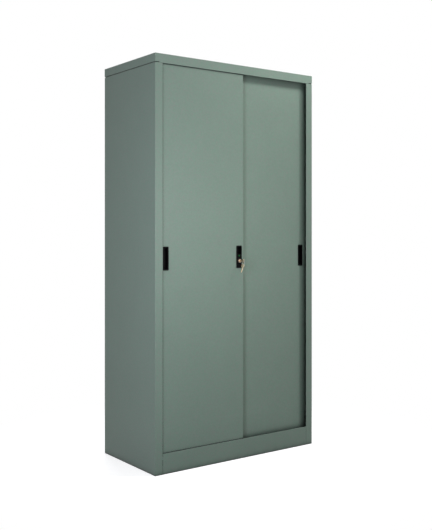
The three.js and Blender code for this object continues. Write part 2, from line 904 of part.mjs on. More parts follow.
function returnSpring() {
  const start = plungerBack + seatGap + springWire / 2;
  const end = barrelEnd - barrelEndWall - seatGap - springWire / 2;
  const wire = new THREE.Shape();
  for (let k = 0; k < wireSides; k++) {
    const angle = (2 * Math.PI * k) / wireSides;
    const [u, v] = [Math.cos(angle), Math.sin(angle)].map((part) => (part * springWire) / 2);
    wire[k ? "lineTo" : "moveTo"](u, v);
  }
  const coil = new THREE.ExtrudeGeometry(wire, {
    steps: springTurns * springStepsPerTurn,
    extrudePath: new Helix(springRadius, start, end, springTurns),
  });
  return geometryOf(solidOf(coil));
}

// A key in the YZ plane, pointing along +y, its shoulder at y = 0: round bow with a hole, neck,
// shoulder and a blade with its bitting along the lower edge.
function keyBlank() {
  const bowCentre = -neckLength - bowRadius;
  const neckStart = Math.asin(neckWidth / 2 / bowRadius);
  const half = bladeWidth / 2;
  const outline = new THREE.Shape();
  outline.absarc(bowCentre, 0, bowRadius, neckStart, 2 * Math.PI - neckStart, false);
  outline.lineTo(-shoulderLength, -neckWidth / 2);
  outline.lineTo(-shoulderLength, -shoulderWidth / 2);
  outline.lineTo(0, -shoulderWidth / 2);
  outline.lineTo(0, -half);
  const pitch = bladeLength / (bittingDepthShares.length + 1);
  bittingDepthShares.forEach((depth, k) => {
    const middle = pitch * (k + 1);
    outline.lineTo(middle - pitch / 2, -half);
    outline.lineTo(middle, half * depth * 2 - half);
  });
  outline.lineTo(bladeLength - pitch / 2, -half);
  outline.lineTo(bladeLength, 0);
  outline.lineTo(bladeLength - pitch / 2, half);
  outline.lineTo(0, half);
  outline.lineTo(0, shoulderWidth / 2);
  outline.lineTo(-shoulderLength, shoulderWidth / 2);
  outline.lineTo(-shoulderLength, neckWidth / 2);
  const hole = new THREE.Path();
  hole.absarc(bowCentre - bowHoleOffset, 0, bowHoleRadius, 0, 2 * Math.PI);
  const drawn = new THREE.Shape(outline.getPoints(bowSteps / 2));
  drawn.holes.push(new THREE.Path(hole.getPoints(holeSides / 2)));
  return alongX(drawn, -keyThickness / 2, keyThickness / 2);
}

// How far the ring's wire sits from the middle of a key's hole, where it bears on the edge.
const wireSeat = bowHoleRadius * Math.cos(Math.PI / holeSides) - ringWire - seatGap;
const holeFromShoulder = neckLength + bowRadius + bowHoleOffset;

function keyRing() {
  return new THREE.TorusGeometry(ringRadius, ringWire, wireSides, ringSides).rotateX(Math.PI / 2);
}

// The strike: a flanged bush in the right door's face, which the tail enters.
function strikeBush() {
  const front = -seatGap - strikeFlange;
  const edge = strikeFlange / 2;
  return turned(
    [
      [strikeBore, front],
      [strikeFlangeRadius - edge, front],
      [strikeFlangeRadius, front + edge],
      [strikeFlangeRadius, front + strikeFlange],
      [strikeRadius, front + strikeFlange],
      [strikeRadius, strikeLength],
      [strikeBore, strikeLength],
    ],
    smallSides,
  );
}

// Puts a piece into a group as a named mesh of its own finish.
function add(group, name, geometry, finish, place = [0, 0, 0]) {
  const mesh = new THREE.Mesh(geometry, new THREE.MeshStandardMaterial(finish));
  mesh.name = name;
  mesh.position.set(...place);
  group.add(mesh);
  return mesh;
}

// Adds a piece drawn for the left side and its mirror image on the right.
function addPair(group, leftName, rightName, geometry, finish, place = [0, 0, 0]) {
  add(group, leftName, geometry, finish, place);
  add(group, rightName, geometry.clone(), finish, place).scale.x = -1;
}

function carcass() {
  const group = new THREE.Group();
  addPair(group, "left_side_panel", "right_side_panel", sidePanel(), paint);
  add(group, "back_panel", backPanel(), paint);
  add(group, "top_cap", topCap(), paint);
  add(group, "bottom_deck", bottomDeck(), paint);
  add(group, "front_plinth", frontPlinth(), paint);
  add(group, "top_track", topTrack(), aluminium);
  add(group, "bottom_track", bottomTrack(), aluminium);

  const rows = [
    ["front", frontPlane + uprightFrontInset],
    ["rear", backPlane - uprightRearInset],
  ];
  const slots = slotHeights();
  for (const [row, y] of rows) {
    addPair(group, `left_${row}_upright`, `right_${row}_upright`, upright(), paint, [0, y, 0]);
  }
  for (let number = 1; number <= shelfCount; number++) {
    const slot = slots[Math.round(((slots.length - 1) * number) / (shelfCount + 1))];
    add(group, `shelf_${number}`, shelf(), paint, [0, 0, slot + shelfSeat]);
    for (const [row, y] of rows) {
      const names = ["left", "right"].map((side) => `shelf_${number}_${side}_${row}_clip`);
      addPair(group, ...names, shelfClip(), galvanised, [0, y, slot]);
    }
  }

  // A door stops on the short buffer when it is shut, and on the long one when it is open.
  const stops = [
    ["left_front_buffer", doorEdgeInset, frontLane, 1],
    ["left_rear_buffer", doorOpenInset, rearLane, 1],
    ["right_front_buffer", doorOpenInset, frontLane, -1],
    ["right_rear_buffer", doorEdgeInset, rearLane, -1],
  ];
  for (const [name, edge, lane, side] of stops) {
    add(group, name, buffer(edge), rubber, [0, lane, bufferHeight]).scale.x = side;
  }
  return group;
}

// The running gear that both doors share: stiffener, two brackets and rollers, two guides.
function runningGear(group, door) {
  add(group, `${door}_stiffener`, doorStiffener(), galvanised);
  [-1, 1].forEach((side, k) => {
    const end = ["left", "right"][k];
    const x = side * (doorWidth / 2 - rollerInset);
    add(group, `${door}_${end}_roller_bracket`, rollerBracket(), galvanised, [x, 0, 0]);
    add(group, `${door}_${end}_roller`, roller(), nylon, [x, doorDepth / 2, axleRise]);
    const guidePlace = side * (doorWidth / 2 - guideInset);
    add(group, `${door}_${end}_guide`, topGuide(), nylon, [guidePlace, 0, 0]);
  });
}

// The lock's pieces, in a group whose origin is on the lock's axis at the door's face. The key
// is in the lock, and the spare hangs from it on the ring.
function pushLock() {
  const group = new THREE.Group();
  add(group, "lock_barrel", lockBarrel(), nickel);
  add(group, "lock_nut", lockNut(), galvanised);
  add(group, "lock_plunger", plunger(), nickel);
  add(group, "lock_core", lockCore(), brass);
  add(group, "lock_spring", returnSpring(), galvanised);
  add(group, "key", keyBlank(), nickel, [0, keyShoulder, 0]);

  const holePlace = keyShoulder - holeFromShoulder;
  const hanging = new THREE.Group();
  hanging.position.set(0, holePlace, -wireSeat - ringRadius);
  hanging.rotation.y = THREE.MathUtils.degToRad(spareLeanDegrees);
  add(hanging, "key_ring", keyRing(), galvanised);
  const spare = add(hanging, "spare_key", keyBlank(), nickel);
  spare.rotation.x = -Math.PI / 2;
  spare.position.set(0, 0, -ringRadius - wireSeat - holeFromShoulder);
  group.add(hanging);
  return group;
}

function leftDoor() {
  const group = new THREE.Group();
  const height = pullHeight - doorBottom;
  const lockX = doorWidth / 2 - lockInset;
  add(group, "left_door_panel", leftDoorPanel(), paint);
  runningGear(group, "left_door");
  add(group, "left_door_pull", doorPull(), blackPlastic, [pullInset - doorWidth / 2, 0, height]);
  add(group, "lock_pull", lockPull(), blackPlastic, [lockX, 0, height]);
  add(group, "lock_index_dot", indexDot(), greenPlastic, [lockX, 0, height]);
  const lock = pushLock();
  lock.position.set(lockX, 0, height - lockDrop);
  group.add(lock);
  group.position.set(doorEdgeInset + doorWidth / 2 - halfWidth, frontDoorFace, doorBottom);
  return group;
}

function rightDoor() {
  const group = new THREE.Group();
  const height = pullHeight - doorBottom;
  add(group, "right_door_panel", rightDoorPanel(), paint);
  runningGear(group, "right_door");
  add(group, "right_door_pull", doorPull(), blackPlastic, [doorWidth / 2 - pullInset, 0, height]);
  add(group, "lock_strike", strikeBush(), nickel, [strikePlace, 0, height - lockDrop]);
  group.position.set(halfWidth - doorEdgeInset - doorWidth / 2, rearDoorFace, doorBottom);
  return group;
}

// The whole cupboard, moved so that the origin is the middle of its outline on the floor. Only
// the key and the ring stand out in front of the body.
const cabinet = new THREE.Group();
cabinet.add(carcass(), leftDoor(), rightDoor());
cabinet.updateMatrixWorld(true);
const outline = new THREE.Box3().setFromObject(cabinet);
cabinet.position.y = -(outline.min.y + outline.max.y) / 2;

export default cabinet;
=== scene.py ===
"""Studio picture of a steel cupboard with two sliding doors.

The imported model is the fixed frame. This script dresses its sheet-metal pieces, and makes the
moulded, turned and stamped small parts anew with their fine edges. Lengths are in metres, +Z is
up, and the doors face -Y.
"""

import json
import logging
import math
from collections.abc import Callable, Iterable, Sequence
from dataclasses import dataclass, field
from enum import Enum

import bmesh
import bpy
from mathutils import Matrix, Vector


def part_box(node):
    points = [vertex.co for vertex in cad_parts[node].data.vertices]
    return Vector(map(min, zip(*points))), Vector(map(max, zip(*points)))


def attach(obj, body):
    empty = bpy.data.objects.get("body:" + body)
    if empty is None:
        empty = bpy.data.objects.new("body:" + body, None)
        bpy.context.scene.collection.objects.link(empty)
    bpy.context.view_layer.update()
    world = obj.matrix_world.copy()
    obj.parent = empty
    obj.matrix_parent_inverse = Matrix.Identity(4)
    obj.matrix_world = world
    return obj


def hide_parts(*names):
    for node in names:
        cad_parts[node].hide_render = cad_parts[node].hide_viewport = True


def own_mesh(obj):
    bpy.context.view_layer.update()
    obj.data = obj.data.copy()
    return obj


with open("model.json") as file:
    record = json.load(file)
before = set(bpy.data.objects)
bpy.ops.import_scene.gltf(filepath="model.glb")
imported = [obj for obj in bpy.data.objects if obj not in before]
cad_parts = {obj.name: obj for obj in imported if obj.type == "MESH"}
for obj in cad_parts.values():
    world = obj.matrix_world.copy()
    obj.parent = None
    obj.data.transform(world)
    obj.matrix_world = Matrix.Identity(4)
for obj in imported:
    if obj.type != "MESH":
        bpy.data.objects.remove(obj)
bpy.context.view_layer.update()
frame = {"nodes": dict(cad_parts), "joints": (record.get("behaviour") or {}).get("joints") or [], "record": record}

LOG = logging.getLogger("cupboard")

Colour = tuple[float, float, float]
Place = tuple[float, float, float]
Span = tuple[float, float]
Profile = Sequence[tuple[float, float]]
Material = bpy.types.Material
Node = bpy.types.Node
Piece = bpy.types.Object
Socket = bpy.types.NodeSocket
Tree = bpy.types.NodeTree
Ground = tuple[object, object, Socket | None]

MM = 0.001
SHARP_ANGLE = math.radians(32)
QUARTER_TURN = math.pi / 2
WELD_REACH = 1e-7
PLATE_WELD_REACH = 1e-6
CORNER_SIGNS = ((1, 1), (-1, 1), (-1, -1), (1, -1))
CORNER_STEPS = 7
WIRE_SIDES = 10
WHITE: Colour = (1.0, 1.0, 1.0)


def from_screen(red: int, green: int, blue: int) -> Colour:
    """Turns a colour as a screen shows it, 0 to 255, into linear light.

    Args:
        red: Red on the screen.
        green: Green on the screen.
        blue: Blue on the screen.

    Returns:
        The same colour as linear red, green and blue, 0 to 1.
    """

    def part(value: int) -> float:
        """Returns one channel as linear light."""
        share = value / 255
        return share / 12.92 if share <= 0.04045 else ((share + 0.055) / 1.055) ** 2.4

    return part(red), part(green), part(blue)


class Slot(Enum):
    """The record's material slots."""

    PAINT = "paint"
    GALVANISED = "galvanised"
    ALUMINIUM = "aluminium"
    NICKEL = "nickel"
    BRASS = "brass"
    BLACK_PLASTIC = "black_plastic"
    NYLON = "nylon"
    RUBBER = "rubber"
    GREEN_PLASTIC = "green_plastic"


class Graph:
    """One node tree, with short ways to add nodes and join them."""

    def __init__(self, tree: Tree) -> None:
        """Keeps the tree that nodes are added to."""
        self.tree = tree

    def put(self, value: object, socket: Socket) -> None:
        """Links a socket to an input, or sets the input's value.

        Args:
            value: A socket, a number, a vector or a linear colour.
            socket: The input.
        """
        if isinstance(value, Socket):
            self.tree.links.new(value, socket)
        elif socket.type == "RGBA":
            socket.default_value = (*value, 1.0)
        else:
            socket.default_value = value

    def add(self, kind: str, inputs: dict | None = None, **settings: object) -> Node:
        """Adds a node, sets its properties and fills its inputs.

        Args:
            kind: The node's type name, without ShaderNode in front.
            inputs: Sockets by name or number, each with a value or with a socket to link from.
            **settings: Properties of the node.

        Returns:
            The new node.
        """
        node = self.tree.nodes.new(f"ShaderNode{kind}")
        for name, value in settings.items():
            setattr(node, name, value)
        for name, value in (inputs or {}).items():
            self.put(value, node.inputs[name])
        return node

    def place(self) -> Socket:
        """Returns the point on the piece in metres, which moves with the piece."""
        return self.add("TexCoord").outputs["Object"]

    def noise(self, place: Socket, scale: object, detail: float) -> Socket:
        """Returns a noise over a place, with this many repeats per metre and finer octaves."""
        inputs = {"Vector": place, "Scale": scale, "Detail": detail}
        return self.add("TexNoise", inputs).outputs["Fac"]

    def work(self, operation: str, first: object, second: object, clamp: bool = False) -> Socket:
        """Returns what the Math node's operation makes of two values or sockets."""
        values = {0: first, 1: second}
        return self.add("Math", values, operation=operation, use_clamp=clamp).outputs[0]

    def times(self, first: object, second: object, clamp: bool = False) -> Socket:
        """Returns the product of two values."""
        return self.work("MULTIPLY", first, second, clamp)

    def plus(self, first: object, second: object, clamp: bool = False) -> Socket:
        """Returns the sum of two values."""
        return self.work("ADD", first, second, clamp)

    def vector(self, operation: str, *values: object, output: str = "Vector") -> Socket:
        """Returns what the Vector Math node's operation makes of vectors or sockets."""
        node = self.add("VectorMath", dict(enumerate(values)), operation=operation)
        return node.outputs[output]

    def spread(
        self,
        value: Socket,
        low: object,
        high: object,
        to_low: float = 0.0,
        to_high: float = 1.0,
        smooth: bool = False,
    ) -> Socket:
        """Spreads a value from one range over another, held at its ends.

        Args:
            value: What is spread.
            low: Start of the range that comes in, as a value or a socket.
            high: End of the range that comes in, as a value or a socket.
            to_low: What the start becomes.
            to_high: What the end becomes.
            smooth: Whether the way between is a soft step.

        Returns:
            The spread value.
        """
        names = ("Value", "From Min", "From Max", "To Min", "To Max")
        inputs = dict(zip(names, (value, low, high, to_low, to_high)))
        way = "SMOOTHSTEP" if smooth else "LINEAR"
        return self.add("MapRange", inputs, interpolation_type=way).outputs["Result"]

    def blend(self, share: object, first: object, second: object, way: str = "MIX") -> Socket:
        """Returns two colours or sockets mixed this way, with this share of the second."""
        settings = {"data_type": "RGBA", "blend_type": way, "clamp_factor": True}
        return self.add("Mix", {0: share, 6: first, 7: second}, **settings).outputs[2]

    def bump(self, height: Socket, distance: float, under: Socket | None = None) -> Socket:
        """Adds a bump.

        Args:
            height: A socket from 0 to 1.
            distance: The bump's real depth in metres.
            under: The normal that the bump lies on, if any.

        Returns:
            The bumped normal.
        """
        inputs = {"Height": height, "Distance": distance, "Strength": 1.0}
        if under is not None:
            inputs["Normal"] = under
        return self.add("Bump", inputs).outputs["Normal"]

    def shown_rays(self) -> Socket:
        """Finds the rays that show a surface: seen, mirrored or let through.

        Returns:
            Their mask.
        """
        rays = self.add("LightPath").outputs
        seen = self.work("MAXIMUM", rays["Is Camera Ray"], rays["Is Glossy Ray"])
        return self.work("MAXIMUM", seen, rays["Is Transmission Ray"])

    def mixed(self, share: Socket, first: Node, second: Node) -> Node:
        """Returns a mix of two shaders, with this share of the second."""
        return self.add("MixShader", {0: share, 1: first.outputs[0], 2: second.outputs[0]})


class Effect(Enum):
    """Surface effects that more than one material uses. Each is one shader node group."""

    GRAIN = "fine grain"
    MOTTLE = "mottled tone"
    EDGE_WEAR = "edge wear"
    # Painted shade in corners and seams, worked out from ambient occlusion.
    GRIME = "corner grime"
    DUST = "settled dust"
    DRAWN_LINES = "drawn lines"
    SMUDGES = "smudges"


@dataclass
class EffectShelf:
    """Builds each effect's node group once, and places it in materials.

    A scale share is a share of the group's own scale, and a span is a range that is spread out.
    """

    peel_scale_share: float = 0.22
    warm_span: Span = (0.35, 0.65)
    cool_scale_share: float = 1.37
    deep_scale_share: float = 0.06
    deep_span: Span = (0.3, 0.7)
    fleck_scale_share: float = 1.15
    fleck_span: Span = (0.32, 0.68)
    red_tint: Colour = (1.11, 0.935, 1.01)
    green_tint: Colour = (0.89, 1.055, 0.99)
    dark_tint: Colour = (0.6, 0.6, 0.6)
    edge_samples: int = 6
    edge_span: Span = (0.999, 0.88)
    edge_patch_span: Span = (0.3, 0.62)
    # Settings of the painted corner shade, which is worked out from ambient occlusion.
    shade_samples: int = 8
    open_air: float = 0.96
    shade_falloff: float = 1.5
    shade_patch_scale: float = 25.0
    shade_patch_span: Span = (0.2, 0.8)
    shade_patch_low: float = 0.85
    lying_span: Span = (0.55, 0.98)
    dust_patch_scale: float = 9.0
    dust_patch_span: Span = (0.3, 0.72)
    dust_speck_scale: float = 1400.0
    dust_speck_span: Span = (0.4, 0.7)
    dust_ground: float = 0.35
    line_span: Span = (0.3, 0.7)
    smudge_bend_share: float = 0.4
    smudge_span: Span = (0.42, 0.68)
    trees: dict[Effect, Tree] = field(default_factory=dict)

    def place(self, graph: Graph, effect: Effect, **values: object) -> Socket:
        """Places an effect in a material.

        Args:
            graph: The material's graph.
            effect: Which effect.
            **values: The group's inputs, with underscores for spaces.

        Returns:
            The effect's result.
        """
        builders = {
            Effect.GRAIN: self.grain,
            Effect.MOTTLE: self.mottle,
            Effect.EDGE_WEAR: self.edge_wear,
            Effect.GRIME: self.grime,
            Effect.DUST: self.dust,
            Effect.DRAWN_LINES: self.drawn_lines,
            Effect.SMUDGES: self.smudges,
        }
        if effect not in self.trees:
            self.trees[effect] = builders[effect]()
        inputs = {name.replace("_", " ").capitalize(): value for name, value in values.items()}
        return graph.add("Group", node_tree=self.trees[effect], inputs=inputs).outputs[0]

    @staticmethod
    def start(effect: Effect, output: str, **inputs: object) -> tuple[Graph, dict, Callable]:
        """Starts a group with its sockets.

        Args:
            effect: The effect that names the group.
            output: The name of its one output. "Colour" is a colour and others are values.
            **inputs: Its inputs, with underscores for spaces. A tuple is a colour.

        Returns:
            The group's graph, its inputs by name, and a function that ends the group.
        """
        tree = bpy.data.node_groups.new(effect.value, "ShaderNodeTree")
        for name, value in inputs.items():
            is_colour = isinstance(value, tuple)
            socket = tree.interface.new_socket(
                name=name.replace("_", " ").capitalize(),
                in_out="INPUT",
                socket_type="NodeSocketColor" if is_colour else "NodeSocketFloat",
            )
            socket.default_value = (*value, 1.0) if is_colour else value
        kind = "NodeSocketColor" if output == "Colour" else "NodeSocketFloat"
        tree.interface.new_socket(name=output, in_out="OUTPUT", socket_type=kind)
        entry, leave = tree.nodes.new("NodeGroupInput"), tree.nodes.new("NodeGroupOutput")
        given = dict(zip(inputs, entry.outputs))

        def deliver(source: Socket) -> Tree:
            """Links the result to the group's output, and returns the group."""
            tree.links.new(source, leave.inputs[output])
            return tree

        return Graph(tree), given, deliver

    def grain(self) -> Tree:
        """Builds fine pimples with a softer orange peel under them.

        Returns:
            The group.
        """
        graph, given, deliver = self.start(Effect.GRAIN, "Height", scale=900.0, peel=0.5)
        place = graph.place()
        fine = graph.noise(place, given["scale"], detail=3)
        peel_scale = graph.times(given["scale"], self.peel_scale_share)
        wide = graph.noise(place, peel_scale, detail=1)
        return deliver(graph.plus(fine, graph.times(wide, given["peel"])))

    def mottle(self) -> Tree:
        """Builds a colour that wanders a little in warmth and depth.

        Returns:
            The group.
        """
        graph, given, deliver = self.start(
            Effect.MOTTLE, "Colour", colour=(0.5, 0.5, 0.5), scale=60.0, warmth=0.1, depth=0.05,
            speck=0.0,
        )
        place = graph.place()

        def patches(scale_share: float, detail: float, span: Span) -> Socket:
            """Returns patches whose scale is a share of the group's."""
            scale = graph.times(given["scale"], scale_share)
            return graph.spread(graph.noise(place, scale, detail), *span)

        def tinted(tint: Colour) -> Socket:
            """Returns the group's colour times a tint."""
            return graph.blend(1.0, given["colour"], tint, "MULTIPLY")

        warm = graph.times(patches(1.0, 2, self.warm_span), given["warmth"])
        cool = graph.times(patches(self.cool_scale_share, 2, self.warm_span), given["warmth"])
        deep = graph.times(patches(self.deep_scale_share, 3, self.deep_span), given["depth"])
        fleck = graph.times(patches(self.fleck_scale_share, 2, self.fleck_span), given["speck"])
        warmed = graph.blend(warm, given["colour"], tinted(self.red_tint))
        cooled = graph.blend(cool, warmed, tinted(self.green_tint))
        return deliver(graph.blend(graph.plus(deep, fleck), cooled, tinted(self.dark_tint)))

    def edge_wear(self) -> Tree:
        """Builds a mask of edges, broken up by noise.

        Returns:
            The group.
        """
        graph, given, deliver = self.start(Effect.EDGE_WEAR, "Mask", width=0.001, breaks=120.0)
        bevel = graph.add("Bevel", {"Radius": given["width"]}, samples=self.edge_samples)
        flat = graph.add("NewGeometry").outputs["Normal"]
        alike = graph.vector("DOT_PRODUCT", bevel.outputs[0], flat, output="Value")
        edge = graph.spread(alike, *self.edge_span, smooth=True)
        patches = graph.noise(graph.place(), given["breaks"], detail=2)
        broken = graph.spread(patches, *self.edge_patch_span)
        return deliver(graph.times(edge, broken, clamp=True))

    def grime(self) -> Tree:
        """Builds a mask of painted shade in corners and behind folds, worked out from ambient occlusion.

        Returns:
            The group.
        """
        graph, given, deliver = self.start(Effect.GRIME, "Mask", reach=0.03, full=0.3)
        air = graph.add(
            "AmbientOcclusion", {"Distance": given["reach"]}, samples=self.shade_samples
        ).outputs["AO"]
        tight = graph.spread(air, self.open_air, given["full"])
        tight = graph.work("POWER", tight, self.shade_falloff)
        patches = graph.noise(graph.place(), self.shade_patch_scale, detail=3)
        broken = graph.spread(patches, *self.shade_patch_span, self.shade_patch_low)
        return deliver(graph.times(tight, broken, clamp=True))

    def dust(self) -> Tree:
        """Builds a mask of fine dust on what faces up.

        Returns:
            The group.
        """
        graph, given, deliver = self.start(Effect.DUST, "Mask", amount=0.3)
        place = graph.place()
        normal = graph.add("NewGeometry").outputs["True Normal"]
        up = graph.add("SeparateXYZ", {0: normal}).outputs["Z"]
        lying = graph.spread(up, *self.lying_span, smooth=True)
        patches = graph.noise(place, self.dust_patch_scale, detail=4)
        patches = graph.spread(patches, *self.dust_patch_span)
        specks = graph.noise(place, self.dust_speck_scale, detail=1)
        specks = graph.spread(specks, *self.dust_speck_span)
        film = graph.times(patches, graph.plus(specks, self.dust_ground))
        return deliver(graph.times(graph.times(film, lying), given["amount"], clamp=True))

    def drawn_lines(self) -> Tree:
        """Builds fine lines drawn along one axis, as rolling or turning leaves them.

        Returns:
            The group.
        """
        graph, given, deliver = self.start(
            Effect.DRAWN_LINES, "Mask", scale=1500.0, along_x=1.0, along_y=1.0, along_z=1.0
        )
        stretch = graph.add(
            "CombineXYZ", {0: given["along_x"], 1: given["along_y"], 2: given["along_z"]}
        ).outputs[0]
        place = graph.vector("MULTIPLY", graph.place(), stretch)
        lines = graph.noise(place, given["scale"], detail=3)
        return deliver(graph.spread(lines, *self.line_span))

    def smudges(self) -> Tree:
        """Builds a soft mask of wiped and handled patches.

        Returns:
            The group.
        """
        graph, given, deliver = self.start(Effect.SMUDGES, "Mask", scale=14.0)
        place = graph.place()
        bend_scale = graph.times(given["scale"], self.smudge_bend_share)
        bend = graph.add("TexNoise", {"Vector": place, "Scale": bend_scale}).outputs["Color"]
        moved = graph.noise(graph.vector("ADD", place, bend), given["scale"], detail=5)
        return deliver(graph.spread(moved, *self.smudge_span, smooth=True))


EFFECTS = EffectShelf()


@dataclass(frozen=True)
class Layer:
    """A shared effect over a finish, and how it tones, dulls or raises the surface.

    The depth is in metres, and the other numbers are shares.
    """

    effect: Effect
    values: dict[str, float]
    tone: Colour | None = None
    share: float = 1.0
    roughness: float = 0.0
    depth: float = 0.0

    def mask(self, graph: Graph, **more: object) -> Socket:
        """Returns the effect, placed in a material's graph."""
        return EFFECTS.place(graph, self.effect, **self.values, **more)


@dataclass(frozen=True)
class Finish:
    """A material whose colour, roughness and relief are worked out layer by layer."""

    name: str
    colour: Colour
    roughness: float
    layers: tuple[Layer, ...]
    shine: float = 0.5
    metallic: float = 0.0
    mottle: Layer | None = None

    def build(self) -> Material:
        """Builds the material.

        Returns:
            The material.
        """
        material = bpy.data.materials.new(self.name)
        material.use_nodes = True
        graph = Graph(material.node_tree)
        colour, rough, normal = self.ground(graph)
        for layer in self.layers:
            mask = layer.mask(graph)
            if layer.tone:
                colour = graph.blend(graph.times(mask, layer.share), colour, layer.tone)
            if layer.roughness:
                rough = graph.plus(graph.times(mask, layer.roughness), rough)
            if layer.depth:
                normal = graph.bump(mask, layer.depth, normal)
        results = {
            "Base Color": self.topped(graph, colour),
            "Metallic": self.metallic,
            "Roughness": rough,
            "Specular IOR Level": self.shine,
            "Normal": normal,
        }
        inputs = graph.tree.nodes["Principled BSDF"].inputs
        for name, value in results.items():
            graph.put(value, inputs[name])
        return material

    def ground(self, graph: Graph) -> Ground:
        """Returns the colour, roughness and normal that the layers lie on."""
        colour = self.mottle.mask(graph, colour=self.colour) if self.mottle else self.colour
        return colour, self.roughness, None

    def topped(self, graph: Graph, colour: Socket) -> Socket:
        """Returns the colour with what lies over every layer, which is nothing here."""
        return colour

    @classmethod
    def extruded(cls, name: str, dull: Colour, bright: Colour, roughness: float) -> "Finish":
        """Returns extruded metal with die lines along X."""
        lines = Layer(
            Effect.DRAWN_LINES, {"scale": 1800.0, "along_x": 0.006}, bright, depth=0.00002
        )
        rubbed = Layer(Effect.SMUDGES, {"scale": 30.0}, roughness=0.14)
        return cls(name, dull, roughness, (lines, rubbed), metallic=1.0)

    @classmethod
    def plated(cls, name: str, colour: Colour, worn: Colour, roughness: float) -> "Finish":
        """Returns bright plated or turned metal, worn at its edges."""
        layers = (
            Layer(Effect.SMUDGES, {"scale": 160.0}, worn, share=0.35, roughness=0.16),
            Layer(Effect.EDGE_WEAR, {"width": 0.0004, "breaks": 700.0}, worn, share=0.6),
            Layer(
                Effect.DRAWN_LINES, {"scale": 5200.0, "along_y": 0.15}, roughness=0.08,
                depth=0.000006,
            ),
        )
        return cls(name, colour, roughness, layers, metallic=1.0)

    @classmethod
    def moulded(
        cls, name: str, colour: Colour, rubbed: Colour, roughness: float, shine: float
    ) -> "Finish":
        """Returns moulded plastic or rubber, with a spark-eroded grain and handled edges."""
        layers = (
            Layer(Effect.EDGE_WEAR, {"width": 0.0006, "breaks": 400.0}, rubbed, share=0.5),
            Layer(Effect.SMUDGES, {"scale": 90.0}, rubbed, share=0.12, roughness=-0.1),
            Layer(Effect.GRAIN, {"scale": 2400.0, "peel": 0.3}, depth=0.000015),
        )
        mottle = Layer(Effect.MOTTLE, {"scale": 300.0, "warmth": 0.15, "depth": 0.25})
        return cls(name, colour, roughness, layers, shine, mottle=mottle)


@dataclass(frozen=True)
class PowderCoat(Finish):
    """Sage green powder coat, satin, with a fine grain, painted highlight and wear along its edges, and painted
    shade in its corners, seams and towards the floor.
    """

    name: str = "powder coat"
    colour: Colour = from_screen(129, 148, 135)
    roughness: float = 0.5
    layers: tuple[Layer, ...] = (
        # Paint lighter along the edges: partly wear, partly painted highlight where the bends catch light.
        Layer(
            Effect.EDGE_WEAR, {"width": 0.0016, "breaks": 60.0}, from_screen(154, 172, 160),
            share=0.55,
        ),
        Layer(Effect.DUST, {"amount": 0.3}, from_screen(166, 168, 160), roughness=0.3),
        Layer(Effect.SMUDGES, {"scale": 11.0}, roughness=-0.025),
        Layer(Effect.GRAIN, {"scale": 850.0, "peel": 0.8}, depth=0.00004),
    )
    shine: float = 0.42
    mottle: Layer | None = Layer(
        Effect.MOTTLE, {"scale": 120.0, "warmth": 0.85, "depth": 0.07, "speck": 0.14}
    )
    # The painted shade's colour, and how strong it is and how far it reaches in corners and seams.
    shade_tone: Colour = from_screen(26, 33, 30)
    corner_shade_share: float = 0.95
    corner_reach: float = 0.035
    corner_full: float = 0.3
    seam_shade_share: float = 0.95
    seam_reach: float = 0.01
    seam_full: float = 0.62
    # Painted shade towards the floor: the paint grows darker below this height.
    floor_shade_share: float = 0.13
    floor_shade_height: float = 0.2
    wave_scale: float = 2.6
    wave_depth: float = 0.0012

    def ground(self, graph: Graph) -> Ground:
        """Returns the colour, roughness and normal that the layers lie on."""
        wave = graph.noise(graph.place(), self.wave_scale, detail=1)
        return *super().ground(graph)[:2], graph.bump(wave, self.wave_depth)

    def topped(self, graph: Graph, colour: Socket) -> Socket:
        """Adds painted shade in corners, in seams and towards the floor.

        Args:
            graph: The material's graph.
            colour: The colour under the painted shade.

        Returns:
            The colour with the painted shade.
        """
        # Painted shade from ambient occlusion, in corners and in seams.
        corner = Layer(Effect.GRIME, {"reach": self.corner_reach, "full": self.corner_full})
        seam = Layer(Effect.GRIME, {"reach": self.seam_reach, "full": self.seam_full})
        tight = graph.work(
            "MAXIMUM",
            graph.times(corner.mask(graph), self.corner_shade_share),
            graph.times(seam.mask(graph), self.seam_shade_share),
        )
        # Painted shade towards the floor: the colour darkens below a set height.
        height = graph.add("SeparateXYZ", {0: graph.place()}).outputs["Z"]
        floor_shade = graph.spread(height, self.floor_shade_height, 0.0, 0.0, self.floor_shade_share)
        return graph.blend(graph.plus(tight, floor_shade, clamp=True), colour, self.shade_tone)


@dataclass(frozen=True)
class ZincPlate(Finish):
    """Galvanised sheet and wire, with a soft spangle and rolling lines."""

    name: str = "zinc plate"
    colour: Colour = from_screen(172, 176, 178)
    roughness: float = 0.34
    layers: tuple[Layer, ...] = ()
    metallic: float = 1.0
    dark: Colour = from_screen(128, 132, 136)
    spangle_scale: float = 170.0
    spangle_share: float = 0.7
    spangle_roughness: float = 0.16
    lines: Layer = Layer(Effect.DRAWN_LINES, {"scale": 2200.0, "along_z": 0.04}, share=0.3)
    line_depth: float = 0.000012

    def ground(self, graph: Graph) -> Ground:
        """Draws the spangle and the rolling lines.

        Args:
            graph: The material's graph.

        Returns:
            The colour, the roughness and the normal.
        """
        cells = {"Vector": graph.place(), "Scale": self.spangle_scale}
        spangle = graph.add("TexVoronoi", cells).outputs["Color"]
        tone = graph.add("SeparateColor", {0: spangle}).outputs[0]
        lines = self.lines.mask(graph)
        spangled = graph.times(tone, self.spangle_share)
        lined = graph.times(lines, self.lines.share)
        colour = graph.blend(graph.plus(spangled, lined), self.dark, self.colour)
        rough = graph.plus(graph.times(tone, self.spangle_roughness), self.roughness)
        return colour, rough, graph.bump(lines, self.line_depth)


